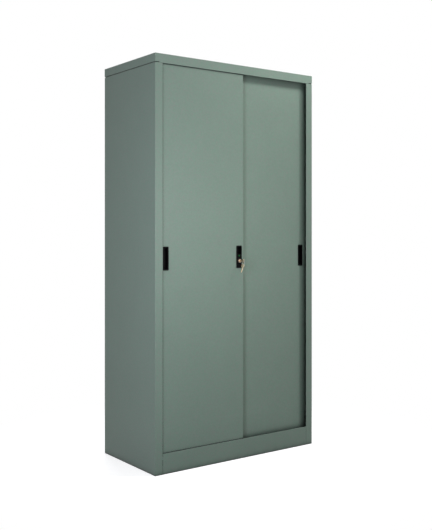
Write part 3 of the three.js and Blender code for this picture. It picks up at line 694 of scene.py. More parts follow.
@dataclass
class Finishes:
    """Every material, made once."""

    slots: dict[Slot, Material]
    front_door_paint: Material
    rear_door_paint: Material
    shaded_nickel: Material
    shaded_key_steel: Material
    lit_key_steel: Material

    @classmethod
    def mixed(cls) -> "Finishes":
        """Builds the materials of this cupboard.

        Returns:
            All of them.
        """
        screen, plated, moulded = from_screen, Finish.plated, Finish.moulded
        slots = {
            Slot.PAINT: PowderCoat(),
            Slot.GALVANISED: ZincPlate(),
            Slot.ALUMINIUM: Finish.extruded(
                "mill aluminium", screen(160, 163, 166), screen(200, 202, 203), 0.33
            ),
            Slot.NICKEL: plated("nickel plate", screen(226, 208, 188), screen(196, 160, 128), 0.24),
            Slot.BRASS: plated("turned brass", screen(206, 160, 112), screen(170, 122, 78), 0.3),
            Slot.BLACK_PLASTIC: moulded(
                "black moulding", screen(3, 3, 4), screen(20, 20, 21), 0.42, 0.06
            ),
            Slot.NYLON: moulded(
                "white nylon", screen(226, 224, 215), screen(206, 202, 190), 0.46, 0.5
            ),
            Slot.RUBBER: moulded(
                "buffer rubber", screen(26, 26, 27), screen(56, 55, 54), 0.78, 0.25
            ),
            Slot.GREEN_PLASTIC: moulded(
                "green moulding", screen(4, 112, 42), screen(30, 134, 66), 0.4, 0.1
            ),
        }
        special = (
            # Copies of the powder coat with stronger painted shade: beside the front door's edges, and in the rear
            # door's corners under the cap, above the sill and behind the stiles.
            PowderCoat("powder coat on the front door", seam_reach=0.018, seam_full=0.78),
            PowderCoat(
                "powder coat on the rear door", corner_reach=0.055, corner_full=0.22,
                corner_shade_share=0.93,
            ),
            # Nickel darkened as painted shade, for the lock barrel.
            plated("dark nickel plate", screen(44, 40, 37), screen(88, 80, 72), 0.32),
            # The same key steel twice: darkened as painted shade for the key in the lock, and lightened as painted
            # highlight for the hanging key.
            plated("nickelled key steel", screen(158, 144, 122), screen(240, 226, 204), 0.3),
            plated("bright key steel", screen(236, 212, 182), screen(250, 240, 222), 0.28),
        )
        in_slots = {slot: finish.build() for slot, finish in slots.items()}
        return cls(in_slots, *(finish.build() for finish in special))


def smooth(piece: Piece) -> Piece:
    """Shades a piece smooth, but for its sharp edges.

    Args:
        piece: The mesh object.

    Returns:
        The same piece.
    """
    mesh = piece.data
    mesh.polygons.foreach_set("use_smooth", [True] * len(mesh.polygons))
    mesh.set_sharp_from_angle(angle=SHARP_ANGLE)
    mesh.update()
    return piece


def shown(name: str, data: bpy.types.ID) -> Piece:
    """Makes an object and puts it in the scene.

    Args:
        name: Its name.
        data: Its mesh, curve, camera or light.

    Returns:
        The new object.
    """
    thing = bpy.data.objects.new(name, data)
    bpy.context.scene.collection.objects.link(thing)
    return thing


def evaluated(thing: Piece) -> bpy.types.Mesh:
    """Returns the mesh that an object's curve or modifiers come to."""
    bpy.context.view_layer.update()
    depsgraph = bpy.context.evaluated_depsgraph_get()
    return bpy.data.meshes.new_from_object(thing.evaluated_get(depsgraph))


def solid(
    name: str,
    points: Iterable[Iterable[float]],
    faces: Iterable[Sequence[int]],
    reach: float = WELD_REACH,
) -> Piece:
    """Makes a closed mesh with no doubled points, and with faces that point out.

    Args:
        name: The piece's name.
        points: Its corners.
        faces: Its faces, as numbers of corners.
        reach: Points nearer than this become one.

    Returns:
        The new object, in the scene.
    """
    mesh = bpy.data.meshes.new(name)
    mesh.from_pydata([tuple(point) for point in points], [], [tuple(face) for face in faces])
    work = bmesh.new()
    work.from_mesh(mesh)
    bmesh.ops.remove_doubles(work, verts=work.verts, dist=reach)
    bmesh.ops.recalc_face_normals(work, faces=work.faces)
    work.to_mesh(mesh)
    work.free()
    return smooth(shown(name, mesh))


def settled(piece: Piece) -> Piece:
    """Applies a piece's modifiers to its mesh.

    Args:
        piece: The object.

    Returns:
        The same piece, with no modifier left.
    """
    mesh = evaluated(piece)
    piece.modifiers.clear()
    piece.data = mesh
    return smooth(piece)


def cut(piece: Piece, *cutters: Piece) -> Piece:
    """Cuts pieces out of a piece, and removes the cutters.

    Args:
        piece: What is cut.
        *cutters: What is taken away.

    Returns:
        The cut piece.
    """
    for cutter in cutters:
        step = piece.modifiers.new("Cut", "BOOLEAN")
        step.operation, step.solver, step.object = "DIFFERENCE", "EXACT", cutter
    settled(piece)
    for cutter in cutters:
        bpy.data.objects.remove(cutter)
    return piece


def eased(piece: Piece, width: float, segments: int) -> Piece:
    """Rounds a piece's sharp edges.

    Args:
        piece: The object.
        width: The radius of the rounding.
        segments: Faces across it.

    Returns:
        The same piece.
    """
    step = piece.modifiers.new("Ease", "BEVEL")
    step.width, step.segments = width, segments
    step.limit_method, step.angle_limit = "ANGLE", SHARP_ANGLE
    step.use_clamp_overlap = True
    return settled(piece)


def around(radius: float, angle: float, height: float = 0.0) -> Vector:
    """Returns the point at this radius and angle about the Y axis, at this height along it."""
    return Vector((radius * math.cos(angle), height, radius * math.sin(angle)))


def quarter_angles(steps: int) -> list[float]:
    """Returns the angles from nought to a quarter turn in even steps."""
    return [step / steps * QUARTER_TURN for step in range(steps + 1)]


def round_angles(steps: int) -> list[float]:
    """Returns the angles of a full turn in even steps."""
    return [2 * math.pi * step / steps for step in range(steps)]


def turned(name: str, centre: Vector, profile: Profile, sides: int) -> Piece:
    """Turns a profile about the Y axis.

    Args:
        name: The piece's name.
        centre: A point on the axis. The profile's heights run from its Y.
        profile: Radius and height in turn. One that stays off the axis closes on itself.
        sides: How many steps make the round.

    Returns:
        The new object.
    """
    points: list[Vector] = []
    rings: list[range] = []
    for radius, height in profile:
        angles = round_angles(sides if radius > 0 else 1)
        rings.append(range(len(points), len(points) + len(angles)))
        points += [centre + around(radius, angle, height) for angle in angles]
    pairs = list(zip(rings, rings[1:]))
    if profile[0][0] > 0:
        pairs.append((rings[-1], rings[0]))
    faces = []
    for low, high in pairs:
        for step in range(sides):
            after = (step + 1) % sides
            corners = ((low, step), (low, after), (high, after), (high, step))
            face = list(dict.fromkeys(ring[corner % len(ring)] for ring, corner in corners))
            if len(face) > 2:
                faces.append(face)
    return solid(name, points, faces)


def rod(name: str, centre: Vector, radius: float, ends: Span, sides: int) -> Piece:
    """Returns a plain round bar along Y, to cut with."""
    start, end = ends
    return turned(name, centre, ((0, start), (radius, start), (radius, end), (0, end)), sides)


def lofted(name: str, loops: Sequence[Sequence[Vector]]) -> Piece:
    """Joins loops of as many points each into one skin, filled at both ends.

    Args:
        name: The piece's name.
        loops: The loops in order.

    Returns:
        The new object.
    """
    count = len(loops[0])
    starts = range(0, count * len(loops), count)
    faces = [
        (here + step, here + (step + 1) % count, there + (step + 1) % count, there + step)
        for here, there in zip(starts, starts[1:])
        for step in range(count)
    ]
    faces += [range(start, start + count) for start in (starts[0], starts[-1])]
    return solid(name, [point for loop in loops for point in loop], faces)


def rounded_loop(centre: Vector, half: Span, radius: float) -> list[Vector]:
    """Draws a rounded rectangle that faces along Y.

    Args:
        centre: Its middle.
        half: Half its width along X and half its length along Z.
        radius: The corners' radius.

    Returns:
        Its points, counted from the right-hand side upwards.
    """
    loop = []
    for quarter, (x, z) in enumerate(CORNER_SIGNS):
        corner = centre + Vector((x * (half[0] - radius), 0, z * (half[1] - radius)))
        start = quarter * QUARTER_TURN
        loop += [corner + around(radius, start + angle) for angle in quarter_angles(CORNER_STEPS)]
    return loop


def block(name: str, low: Vector, high: Vector) -> Piece:
    """Makes a box, to cut with.

    Args:
        name: The piece's name.
        low: Its low corner.
        high: Its high corner.

    Returns:
        The new object.
    """
    middle, half = (low + high) / 2, (high - low) / 2
    ends = [
        [middle + Vector((x * half.x, y * half.y, z * half.z)) for x, z in CORNER_SIGNS]
        for y in (-1, 1)
    ]
    return lofted(name, ends)


def plate(name: str, outlines: Sequence[Profile], thickness: float, edge: float) -> Piece:
    """Stamps a flat plate with eased edges, square to X, with its middle at x = 0.

    Args:
        name: The piece's name.
        outlines: Its outline and then its holes, as (y, z) points.
        thickness: The plate's thickness.
        edge: The radius of its edges.

    Returns:
        The new object.
    """
    drawing = bpy.data.curves.new(name, "CURVE")
    drawing.dimensions, drawing.fill_mode = "2D", "BOTH"
    drawing.extrude = thickness / 2 - edge
    drawing.bevel_depth, drawing.bevel_resolution = edge, 1
    drawing.offset = -edge
    for outline in outlines:
        spline = drawing.splines.new("POLY")
        spline.points.add(len(outline) - 1)
        for point, (y, z) in zip(spline.points, outline):
            point.co = (y, z, 0, 1)
        spline.use_cyclic_u = True
    holder = shown(name, drawing)
    mesh = evaluated(holder)
    bpy.data.objects.remove(holder)
    points = [(corner.co.z, corner.co.x, corner.co.y) for corner in mesh.vertices]
    return solid(name, points, [face.vertices for face in mesh.polygons], PLATE_WELD_REACH)


def coil(
    name: str,
    centre: Vector,
    radius: float,
    turns: float,
    rise: Callable[[float], float],
    half_wire: Span,
    steps_per_turn: int,
) -> Piece:
    """Winds a wire about the Y axis.

    Args:
        name: The piece's name.
        centre: A point on the axis.
        radius: From the axis to the wire's middle.
        turns: How many turns.
        rise: The wire's height along Y, for a share of the whole length.
        half_wire: Half the wire's size across the axis and along it.
        steps_per_turn: Steps around one turn.

    Returns:
        The new object.
    """
    count = round(turns * steps_per_turn)
    wide, tall = half_wire
    wire = [(wide * math.cos(side), tall * math.sin(side)) for side in round_angles(WIRE_SIDES)]
    loops = []
    for share in (step / count for step in range(count + 1)):
        angle, height = 2 * math.pi * turns * share, rise(share)
        loops.append([centre + around(radius + out, angle, height + up) for out, up in wire])
    return lofted(name, loops)


def rim_points(radius: float, height: float, edge: float, easing: Profile) -> Profile:
    """Returns a profile's front rim, eased by points this far in and back in shares of edge."""
    return [(radius - inset * edge, height + drop * edge) for inset, drop in easing]


def axis_at(point: Vector) -> Vector:
    """Returns the point at y = 0 of the line along Y through this point."""
    return Vector((point.x, 0, point.z))


def middle_of(node: str) -> Vector:
    """Returns the middle of a node's box."""
    low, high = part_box(node)
    return (low + high) / 2


def joint_place(name: str) -> Vector:
    """Returns the point that a hinge turns about."""
    return next(Vector(joint["pos_m"]) for joint in frame["joints"] if joint["name"] == name)


@dataclass
class Assembly:
    """What every sub-assembly has: the finishes, and a way to seat its new pieces."""

    finishes: Finishes

    def fit(
        self, piece: Piece, slot: Slot, body: str, *nodes: str, material: Material | None = None
    ) -> None:
        """Dresses a new piece, and sets it in place of the nodes that it stands for.

        Args:
            piece: The new piece.
            slot: The record's slot.
            body: The body that it rides on.
            *nodes: The nodes that it replaces.
            material: Its material, where that isn't the slot's usual one.
        """
        piece.data.materials.clear()
        piece.data.materials.append(material or self.finishes.slots[slot])
        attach(piece, body)
        if nodes:
            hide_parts(*nodes)
        LOG.info("%s rides on %s, %d faces", piece.name, body, len(piece.data.polygons))


@dataclass
class Carcass(Assembly):
    """The body's sheet-metal pieces, tracks, uprights, shelves, clips and buffers."""

    rivet_pitch: float = 0.16
    rivet_reach: float = 0.4
    rivet_radius: float = 2.6 * MM
    rivet_dome: float = 0.9 * MM
    rivet_shares: Profile = ((0, 1), (0.45, 0.93), (0.8, 0.62), (1, 0.15), (1, 0), (0, 0))
    rivet_sides: int = 24
    track_base: float = 1.6 * MM
    buffer_foot: float = 2.38 * MM
    buffer_neck_share: float = 0.62
    buffer_neck_end: float = 6.44 * MM
    buffer_head_start: float = 4.76 * MM
    buffer_head_inset: float = 1.12 * MM
    buffer_head_end: float = 2.52 * MM
    buffer_nose_share: float = 0.64
    buffer_easing: float = 0.5 * MM
    buffer_sides: int = 40

    def build(self) -> None:
        """Dresses every node that stays, and makes the rivets and buffers."""
        slots = {part["node"]: part["material_slot"] for part in frame["record"]["subparts"]}
        # Each door panel takes its own copy of the powder coat, with stronger painted shade.
        doors = {
            "left_door_panel": self.finishes.front_door_paint,
            "right_door_panel": self.finishes.rear_door_paint,
        }
        for name, node in frame["nodes"].items():
            node.data.materials.clear()
            node.data.materials.append(doors.get(name) or self.finishes.slots[Slot(slots[name])])
        LOG.info("%d nodes dressed", len(frame["nodes"]))
        self.track_rivets()
        for name in ("left_front", "left_rear", "right_front", "right_rear"):
            self.buffer(name)

    def track_rivets(self) -> None:
        """Sets a row of blind rivets between the bottom track's rails."""
        low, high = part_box("bottom_track")
        seat = Vector((0, (low.y + high.y) / 2, low.z + self.track_base))
        profile = [(self.rivet_radius * r, self.rivet_dome * h) for r, h in self.rivet_shares]
        head = turned("rivet head", Vector(), profile, self.rivet_sides)
        corners = [corner.co for corner in head.data.vertices]
        points: list[Vector] = []
        faces: list[list[int]] = []
        count = round(self.rivet_reach / self.rivet_pitch)
        for place in range(-count, count + 1):
            start, shift = len(points), place * self.rivet_pitch
            points += [seat + Vector((shift + x, z, y)) for x, y, z in corners]
            faces += [[start + corner for corner in face.vertices] for face in head.data.polygons]
        bpy.data.objects.remove(head)
        self.fit(solid("track_rivets", points, faces), Slot.ALUMINIUM, "carcass")

    def buffer(self, name: str) -> None:
        """Makes one rubber buffer with its waist.

        Args:
            name: The buffer's place, which starts its node's name.
        """
        node = f"{name}_buffer"
        low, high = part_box(node)
        length, radius = high.x - low.x, (high.z - low.z) / 2
        neck = radius * self.buffer_neck_share
        profile = (
            (0, 0),
            (radius, 0),
            (radius, self.buffer_foot),
            (neck, self.buffer_foot + (radius - neck)),
            (neck, length - self.buffer_neck_end),
            (radius - self.buffer_head_inset, length - self.buffer_head_start),
            (radius, length - self.buffer_head_end),
            (radius * self.buffer_nose_share, length),
            (0, length),
        )
        piece = turned(f"{name}_stop", Vector(), profile, self.buffer_sides)
        piece = eased(piece, self.buffer_easing, 2)
        seat, turn = (low, -QUARTER_TURN) if name.startswith("left") else (high, QUARTER_TURN)
        middle = (low + high) / 2
        piece.data.transform(Matrix.Rotation(turn, 4, "Z"))
        piece.data.transform(Matrix.Translation((seat.x, middle.y, middle.z)))
        self.fit(piece, Slot.RUBBER, "carcass", node)


@dataclass
class RollerSet(Assembly):
    """The grooved nylon rollers under the doors."""

    bore: float = 2.52 * MM
    groove_radius: float = 2.5 * MM
    groove_depth: float = 2.0 * MM
    groove_steps: int = 8
    rim: float = 1.0 * MM
    dish: float = 0.8 * MM
    hub_radius: float = 5.2 * MM
    dish_edge: float = 2.6 * MM
    easing: float = 0.15 * MM
    sides: int = 64

    def build(self) -> None:
        """Makes both rollers of both doors."""
        for door in ("left_door", "right_door"):
            for end in ("left", "right"):
                self.roller(f"{door}_{end}")

    def roller(self, name: str) -> None:
        """Makes one roller with a round groove and dished sides.

        Args:
            name: The door and the end, which start the node's name.
        """
        node = f"{name}_roller"
        low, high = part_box(node)
        half, radius = (high.y - low.y) / 2, (high.z - low.z) / 2
        mouth = math.sqrt(self.groove_radius**2 - (self.groove_radius - self.groove_depth) ** 2)
        middle = radius - self.groove_depth + self.groove_radius
        steps = self.groove_steps
        across = [mouth * (1 - 2 * step / steps) for step in range(steps + 1)]
        groove = [(middle - math.sqrt(self.groove_radius**2 - y**2), y) for y in across]
        side = [
            (radius, half - self.rim),
            (radius - self.rim, half),
            (radius - self.dish_edge, half),
            (radius - self.dish_edge - self.dish, half - self.dish),
            (self.hub_radius + self.dish, half - self.dish),
            (self.hub_radius, half),
            (self.bore, half),
        ]
        profile = [*((r, -y) for r, y in side[::-1]), *((r, -y) for r, y in groove), *side]
        piece = turned(f"{name}_wheel", middle_of(node), profile, self.sides)
        self.fit(eased(piece, self.easing, 1), Slot.NYLON, node, node)


@dataclass
class Pull(Assembly):
    """A moulded recessed pull: rim on the door's face, and a scooped grip."""

    rim: float = 1.2 * MM
    rim_edge: float = 0.55 * MM
    rim_steps: int = 4
    corner: float = 3.5 * MM
    least_corner: float = 0.4 * MM
    body_margin: float = 3.0 * MM
    body_corner: float = 2.0 * MM
    floor_wall: float = 1.4 * MM
    grip_margin: float = 5.0 * MM
    grip_corner: float = 2.2 * MM
    grip_lip: float = 0.5 * MM
    lip_steps: int = 3
    scoop: float = 11.0 * MM
    scoop_shares: tuple[float, ...] = (0.2, 0.4, 0.58, 0.74, 0.86, 0.94, 0.985, 1.0)
    draft: float = 0.8 * MM
    end_margin: float = 4.5 * MM

    def housing(self, name: str, node: str, grip: Span) -> Piece:
        """Makes the moulding.

        Args:
            name: The piece's name.
            node: The node that it stands for.
            grip: Where the grip starts and ends, as heights from the pull's middle.

        Returns:
            The new object.
        """
        low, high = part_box(node)
        centre = (low + high) / 2
        half = ((high.x - low.x) / 2, (high.z - low.z) / 2)
        front, back = low.y, high.y

        def outer(inset: float, y: float, radius: float) -> list[Vector]:
            """Returns the rim's outline, drawn in by an inset."""
            place = Vector((centre.x, y, centre.z))
            return rounded_loop(place, (half[0] - inset, half[1] - inset), radius)

        grip_z, grip_half = centre.z + (grip[0] + grip[1]) / 2, (grip[1] - grip[0]) / 2

        def inner(inset: float, end_inset: float, y: float) -> list[Vector]:
            """Returns the grip's outline at a depth."""
            size = half[0] - self.grip_margin - inset, grip_half - end_inset
            radius = max(self.grip_corner - inset, self.least_corner)
            return rounded_loop(Vector((centre.x, y, grip_z)), size, radius)

        loops = [
            outer(self.body_margin, back, self.body_corner),
            outer(self.body_margin, front + self.rim, self.body_corner),
            outer(0, front + self.rim, self.corner),
        ]
        for angle in quarter_angles(self.rim_steps):
            inset = self.rim_edge * (1 - math.cos(angle))
            y = front + self.rim_edge * (1 - math.sin(angle))
            loops.append(outer(inset, y, self.corner - inset))
        for angle in quarter_angles(self.lip_steps):
            inset = self.grip_lip * math.sin(angle) - self.grip_lip
            loops.append(inner(inset, inset, front + self.grip_lip * (1 - math.cos(angle))))
        depth = back - self.floor_wall - front - self.grip_lip
        for share in self.scoop_shares:
            drawn = self.scoop * (1 - math.sqrt(1 - share)) ** 2
            loops.append(inner(self.draft * share, drawn, front + self.grip_lip + depth * share))
        return lofted(name, loops)

    def build(self, name: str, node: str, body: str) -> None:
        """Makes a plain pull, whose grip runs its whole length.

        Args:
            name: The piece's name.
            node: The node that it stands for.
            body: The door that it rides on.
        """
        low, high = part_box(node)
        reach = (high.z - low.z) / 2 - self.end_margin
        self.fit(self.housing(name, node, (-reach, reach)), Slot.BLACK_PLASTIC, body, node)


@dataclass
class PushLock(Assembly):
    """The lock in the middle pull: barrel, plunger, core, spring and index dot."""

    grip_length: float = 34.0 * MM
    barrel_radius: float = 9.0 * MM
    barrel_wall_end: float = 1.1 * MM
    flange: float = 0.8 * MM
    flange_edge: float = 0.3 * MM
    flange_easing: Profile = ((2, 0), (0.6, 0.5), (0, 1.5))
    plunger_radius: float = 7.0 * MM
    plunger_edge: float = 0.6 * MM
    plunger_floor: float = 0.9 * MM
    plunger_travel: float = 6.0 * MM
    tail_radius: float = 3.8 * MM
    tail_nose: float = 1.0 * MM
    core_radius: float = 4.6 * MM
    core_edge: float = 0.3 * MM
    running_gap: float = 0.2 * MM
    seat_gap: float = 0.3 * MM
    key_thickness: float = 2.0 * MM
    key_height: float = 6.0 * MM
    keyway_gap: float = 0.25 * MM
    keyway_floor: float = 0.5 * MM
    spring_wire: float = 0.3 * MM
    spring_radius: float = 5.2 * MM
    spring_turns: float = 4.0
    spring_steps: int = 56
    closed_end_share: float = 0.08
    strike_bore: float = 5.4 * MM
    strike_radius: float = 7.5 * MM
    strike_flange: float = 0.8 * MM
    strike_mouth_share: float = 0.6
    rounded: Profile = ((1, 0), (0.3, 0.3), (0, 1))
    chamfered: Profile = ((1, 0), (0, 1))
    dome_share: float = 0.32
    dome_steps: int = 6
    dot_sides: int = 40
    sides: int = 64
    fine_sides: int = 80

    @property
    def axis(self) -> Vector:
        """The point on the lock's axis at y = 0."""
        return axis_at(joint_place("key_turn"))

    def build(self, pull: Pull) -> None:
        """Makes the lock's pieces.

        Args:
            pull: The pull whose shape the middle one shares.
        """
        self.plate(pull)
        self.dot()
        self.barrel()
        self.plunger()
        self.core()
        self.spring()
        self.strike()

    def plate(self, pull: Pull) -> None:
        """Makes the middle pull, with its grip above the lock and holes for lock and dot.

        Args:
            pull: The pull whose shape it shares.
        """
        low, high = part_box("lock_pull")
        top = (high.z - low.z) / 2 - pull.end_margin
        piece = pull.housing("lock_plate", "lock_pull", (top - self.grip_length, top))
        bore = self.barrel_radius + self.seat_gap
        lock_hole = rod("lock hole", self.axis, bore, (low.y - bore, high.y + bore), self.sides)
        dot_low, dot_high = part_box("lock_index_dot")
        pocket = (dot_high.x - dot_low.x) / 2 + self.seat_gap
        ends = (low.y - pocket, dot_high.y + self.seat_gap)
        dot_axis = axis_at(middle_of("lock_index_dot"))
        dot_hole = rod("dot pocket", dot_axis, pocket, ends, self.dot_sides)
        piece = cut(piece, lock_hole, dot_hole)
        self.fit(piece, Slot.BLACK_PLASTIC, "left_door", "lock_pull")

    def dot(self) -> None:
        """Makes the domed green dot."""
        low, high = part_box("lock_index_dot")
        radius, dome = (high.x - low.x) / 2, (high.y - low.y) * self.dome_share
        profile = [
            (radius * math.sin(angle), low.y + dome * (1 - math.cos(angle)))
            for angle in quarter_angles(self.dome_steps)
        ]
        profile += [(radius, high.y), (0, high.y)]
        centre = axis_at(middle_of("lock_index_dot"))
        piece = turned("green_dot", centre, profile, self.dot_sides)
        self.fit(piece, Slot.GREEN_PLASTIC, "left_door", "lock_index_dot")

    def barrel(self) -> None:
        """Makes the barrel, with its eased flange."""
        low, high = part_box("lock_barrel")
        radius = (high.x - low.x) / 2
        bore, tail = self.plunger_radius + self.running_gap, self.tail_radius + self.running_gap
        profile = (
            (bore, low.y + self.flange_edge),
            (bore + self.flange_edge, low.y),
            *rim_points(radius, low.y, self.flange_edge, self.flange_easing),
            (radius, low.y + self.flange),
            (self.barrel_radius, low.y + self.flange),
            (self.barrel_radius, high.y),
            (tail, high.y),
            (tail, high.y - self.barrel_wall_end),
            (bore, high.y - self.barrel_wall_end),
        )
        piece = turned("barrel", self.axis, profile, self.fine_sides)
        # The barrel's nickel is darkened as painted shade.
        finish = self.finishes.shaded_nickel
        self.fit(piece, Slot.NICKEL, "left_door", "lock_barrel", material=finish)

    def plunger(self) -> None:
        """Makes the plunger with its eased head and its tail."""
        low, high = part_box("lock_plunger")
        core_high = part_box("lock_core")[1]
        bore = self.core_radius + self.running_gap
        floor = core_high.y + self.seat_gap
        back = floor + self.plunger_floor
        profile = (
            (0, floor),
            (bore, floor),
            (bore, low.y),
            *rim_points(self.plunger_radius, low.y, self.plunger_edge, self.rounded),
            (self.plunger_radius, back),
            (self.tail_radius, back),
            (self.tail_radius, high.y - self.tail_nose),
            (self.tail_radius - self.tail_nose, high.y),
            (0, high.y),
        )
        piece = turned("plunger", self.axis, profile, self.fine_sides)
        self.fit(piece, Slot.NICKEL, "lock_plunger", "lock_plunger")

    def core(self) -> None:
        """Makes the core with its keyway."""
        low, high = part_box("lock_core")
        profile = (
            (0, low.y),
            *rim_points(self.core_radius, low.y, self.core_edge, self.chamfered),
            (self.core_radius, high.y),
            (0, high.y),
        )
        body = turned("core", self.axis, profile, self.sides)
        half = self.key_thickness / 2 + self.keyway_gap
        rise = self.key_height / 2 + self.keyway_gap
        way = block(
            "keyway",
            self.axis + Vector((-half, low.y - self.core_radius, -rise)),
            self.axis + Vector((half, high.y - self.keyway_floor, rise)),
        )
        self.fit(cut(body, way), Slot.BRASS, "lock_core", "lock_core")

    def spring(self) -> None:
        """Winds the return spring with closed ends."""
        low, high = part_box("lock_spring")
        start, end = low.y + self.spring_wire, high.y - self.spring_wire
        closed = self.closed_end_share

        def rise(share: float) -> float:
            """Returns the wire's height, flat for a little at both ends."""
            return start + (end - start) * min(max((share - closed) / (1 - 2 * closed), 0), 1)

        wire = (self.spring_wire, self.spring_wire)
        axis, radius, turns = self.axis, self.spring_radius, self.spring_turns
        piece = coil("return_spring", axis, radius, turns, rise, wire, self.spring_steps)
        self.fit(piece, Slot.GALVANISED, "left_door", "lock_spring")
        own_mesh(piece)

    def strike(self) -> None:
        """Makes the strike bush in the right door."""
        low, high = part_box("lock_strike")
        radius = (high.x - low.x) / 2
        edge = self.strike_flange / 2
        mouth = edge * self.strike_mouth_share
        profile = (
            (self.strike_bore, low.y + mouth),
            (self.strike_bore + mouth, low.y),
            *rim_points(radius, low.y, edge, self.rounded),
            (radius, low.y + self.strike_flange),
            (self.strike_radius, low.y + self.strike_flange),
            (self.strike_radius, high.y),
            (self.strike_bore, high.y),
        )
        piece = turned("strike_bush", axis_at(middle_of("lock_strike")), profile, self.sides)
        self.fit(piece, Slot.NICKEL, "right_door", "lock_strike")


@dataclass
class KeySet(Assembly):
    """Two alike keys: one in the lock, and one that hangs from it on a split ring."""

    thickness: float = 2.0 * MM
    edge: float = 0.22 * MM
    bow_radius: float = 9.4 * MM
    bow_steps: int = 56
    bow_recess: float = 0.25 * MM
    bow_rim: float = 1.5 * MM
    hole_radius: float = 2.7 * MM
    hole_offset: float = 4.6 * MM
    hole_steps: int = 32
    neck_length: float = 10.2 * MM
    neck_width: float = 7.4 * MM
    shoulder_width: float = 8.6 * MM
    shoulder_length: float = 2.0 * MM
    blade_length: float = 12.5 * MM
    blade_width: float = 6.0 * MM
    cut_depth_shares: tuple[float, ...] = (0.3, 0.12, 0.4, 0.2, 0.34)
    cut_floor_share: float = 0.12
    tip_shares: Span = (-0.2, 0.3)
    tip_bevel_share: float = 0.4
    groove_depth: float = 0.45 * MM
    groove_width: float = 1.3 * MM
    groove_offset: float = 0.78 * MM
    spare_lean_degrees: float = 15.0
    ring_radius: float = 8.0 * MM
    ring_turns: float = 2
    ring_steps: int = 48
    wire: float = 0.6 * MM
    turn_offset: float = 0.258 * MM
    wire_half_height: float = 0.24252 * MM
    crossing_start: float = 0.44
    crossing_share: float = 0.12

    @property
    def bow(self) -> float:
        """The bow's middle along y, from the shoulder."""
        return -self.neck_length - self.bow_radius

    def build(self) -> None:
        """Makes both keys and the ring."""
        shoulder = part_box("key")[1].y - self.blade_length
        axis = joint_place("key_turn")
        key = self.blank("lock_key")
        key.data.transform(Matrix.Translation((axis.x, shoulder, axis.z)))
        # The key in the lock wears key steel darkened as painted shade.
        self.fit(key, Slot.NICKEL, "key", "key", material=self.finishes.shaded_key_steel)

        centre = joint_place("spare_swing")
        seat = joint_place("ring_swing").z - centre.z - self.ring_radius
        drop = self.ring_radius + seat - self.bow + self.hole_offset
        lean = Matrix.Rotation(math.radians(self.spare_lean_degrees), 4, "Y")
        place = Matrix.Translation(centre) @ lean @ Matrix.Translation((0, 0, -drop))
        spare = self.blank("hanging_key")
        spare.data.transform(place @ Matrix.Rotation(-QUARTER_TURN, 4, "X"))
        # The hanging key wears key steel lightened as painted highlight.
        finish = self.finishes.lit_key_steel
        self.fit(spare, Slot.NICKEL, "spare_key", "spare_key", material=finish)
        self.ring(centre)

    def outline(self) -> list[tuple[float, float]]:
        """Draws the key's outline.

        Returns:
            Its (y, z) points, with the shoulder at y = 0 and the blade along +y.
        """
        half, neck, wide = self.blade_width / 2, self.neck_width / 2, self.shoulder_width / 2
        radius, shoulder, tip = self.bow_radius, -self.shoulder_length, self.blade_length
        start = math.asin(neck / radius)
        points = []
        for step in range(self.bow_steps + 1):
            angle = start + 2 * (math.pi - start) * step / self.bow_steps
            points.append((self.bow + radius * math.cos(angle), radius * math.sin(angle)))
        points += [(shoulder, -neck), (shoulder, -wide), (0, -wide), (0, -half)]
        pitch = tip / (len(self.cut_depth_shares) + 1)
        flat = pitch * self.cut_floor_share
        for number, share in enumerate(self.cut_depth_shares, 1):
            floor, middle = half * share * 2 - half, pitch * number
            points += [(middle - pitch / 2, -half), (middle - flat, floor), (middle + flat, floor)]
        return [
            *points,
            (tip - pitch / 2, -half),
            *((tip, half * share) for share in self.tip_shares),
            (tip - pitch * self.tip_bevel_share, half),
            (0, half),
            (0, wide),
            (shoulder, wide),
            (shoulder, neck),
        ]

    def blank(self, name: str) -> Piece:
        """Stamps and mills one key, with its shoulder at the origin.

        Args:
            name: The piece's name.

        Returns:
            The new object.
        """
        middle = self.bow - self.hole_offset
        points = [around(self.hole_radius, angle) for angle in round_angles(self.hole_steps)]
        hole = [(middle + point.x, point.z) for point in points]
        piece = plate(name, [self.outline(), hole], self.thickness, self.edge)
        seat = Matrix.Translation((0, self.bow, 0)) @ Matrix.Rotation(-QUARTER_TURN, 4, "Z")
        cutters = []
        for side in (-1, 1):
            face = side * self.thickness / 2
            beyond = face + side * self.thickness
            low_x, high_x = sorted((face - side * self.groove_depth, beyond))
            low_z = side * self.groove_offset
            low = Vector((low_x, self.shoulder_length, low_z))
            reach = self.blade_length + self.thickness
            groove = block("groove", low, Vector((high_x, reach, low_z + self.groove_width)))
            ends = (face - side * self.bow_recess, beyond)
            rim = self.bow_radius - self.bow_rim
            recess = rod("bow recess", Vector(), rim, ends, self.bow_steps)
            recess.data.transform(seat)
            cutters += [groove, recess]
        return cut(piece, *cutters)

    def ring(self, centre: Vector) -> None:
        """Winds the split ring: two flat turns that cross at one place.

        Args:
            centre: The ring's middle.
        """
        offset, wire = self.turn_offset, (self.wire, self.wire_half_height)

        def rise(share: float) -> float:
            """Returns the wire's side step, which lies in the middle of its length."""
            run = min(max((share - self.crossing_start) / self.crossing_share, 0), 1)
            return -offset + 2 * offset * run * run * (3 - 2 * run)

        radius, turns, steps = self.ring_radius, self.ring_turns, self.ring_steps
        piece = coil("split_ring", centre, radius, turns, rise, wire, steps)
        self.fit(piece, Slot.GALVANISED, "key_ring", "key_ring")


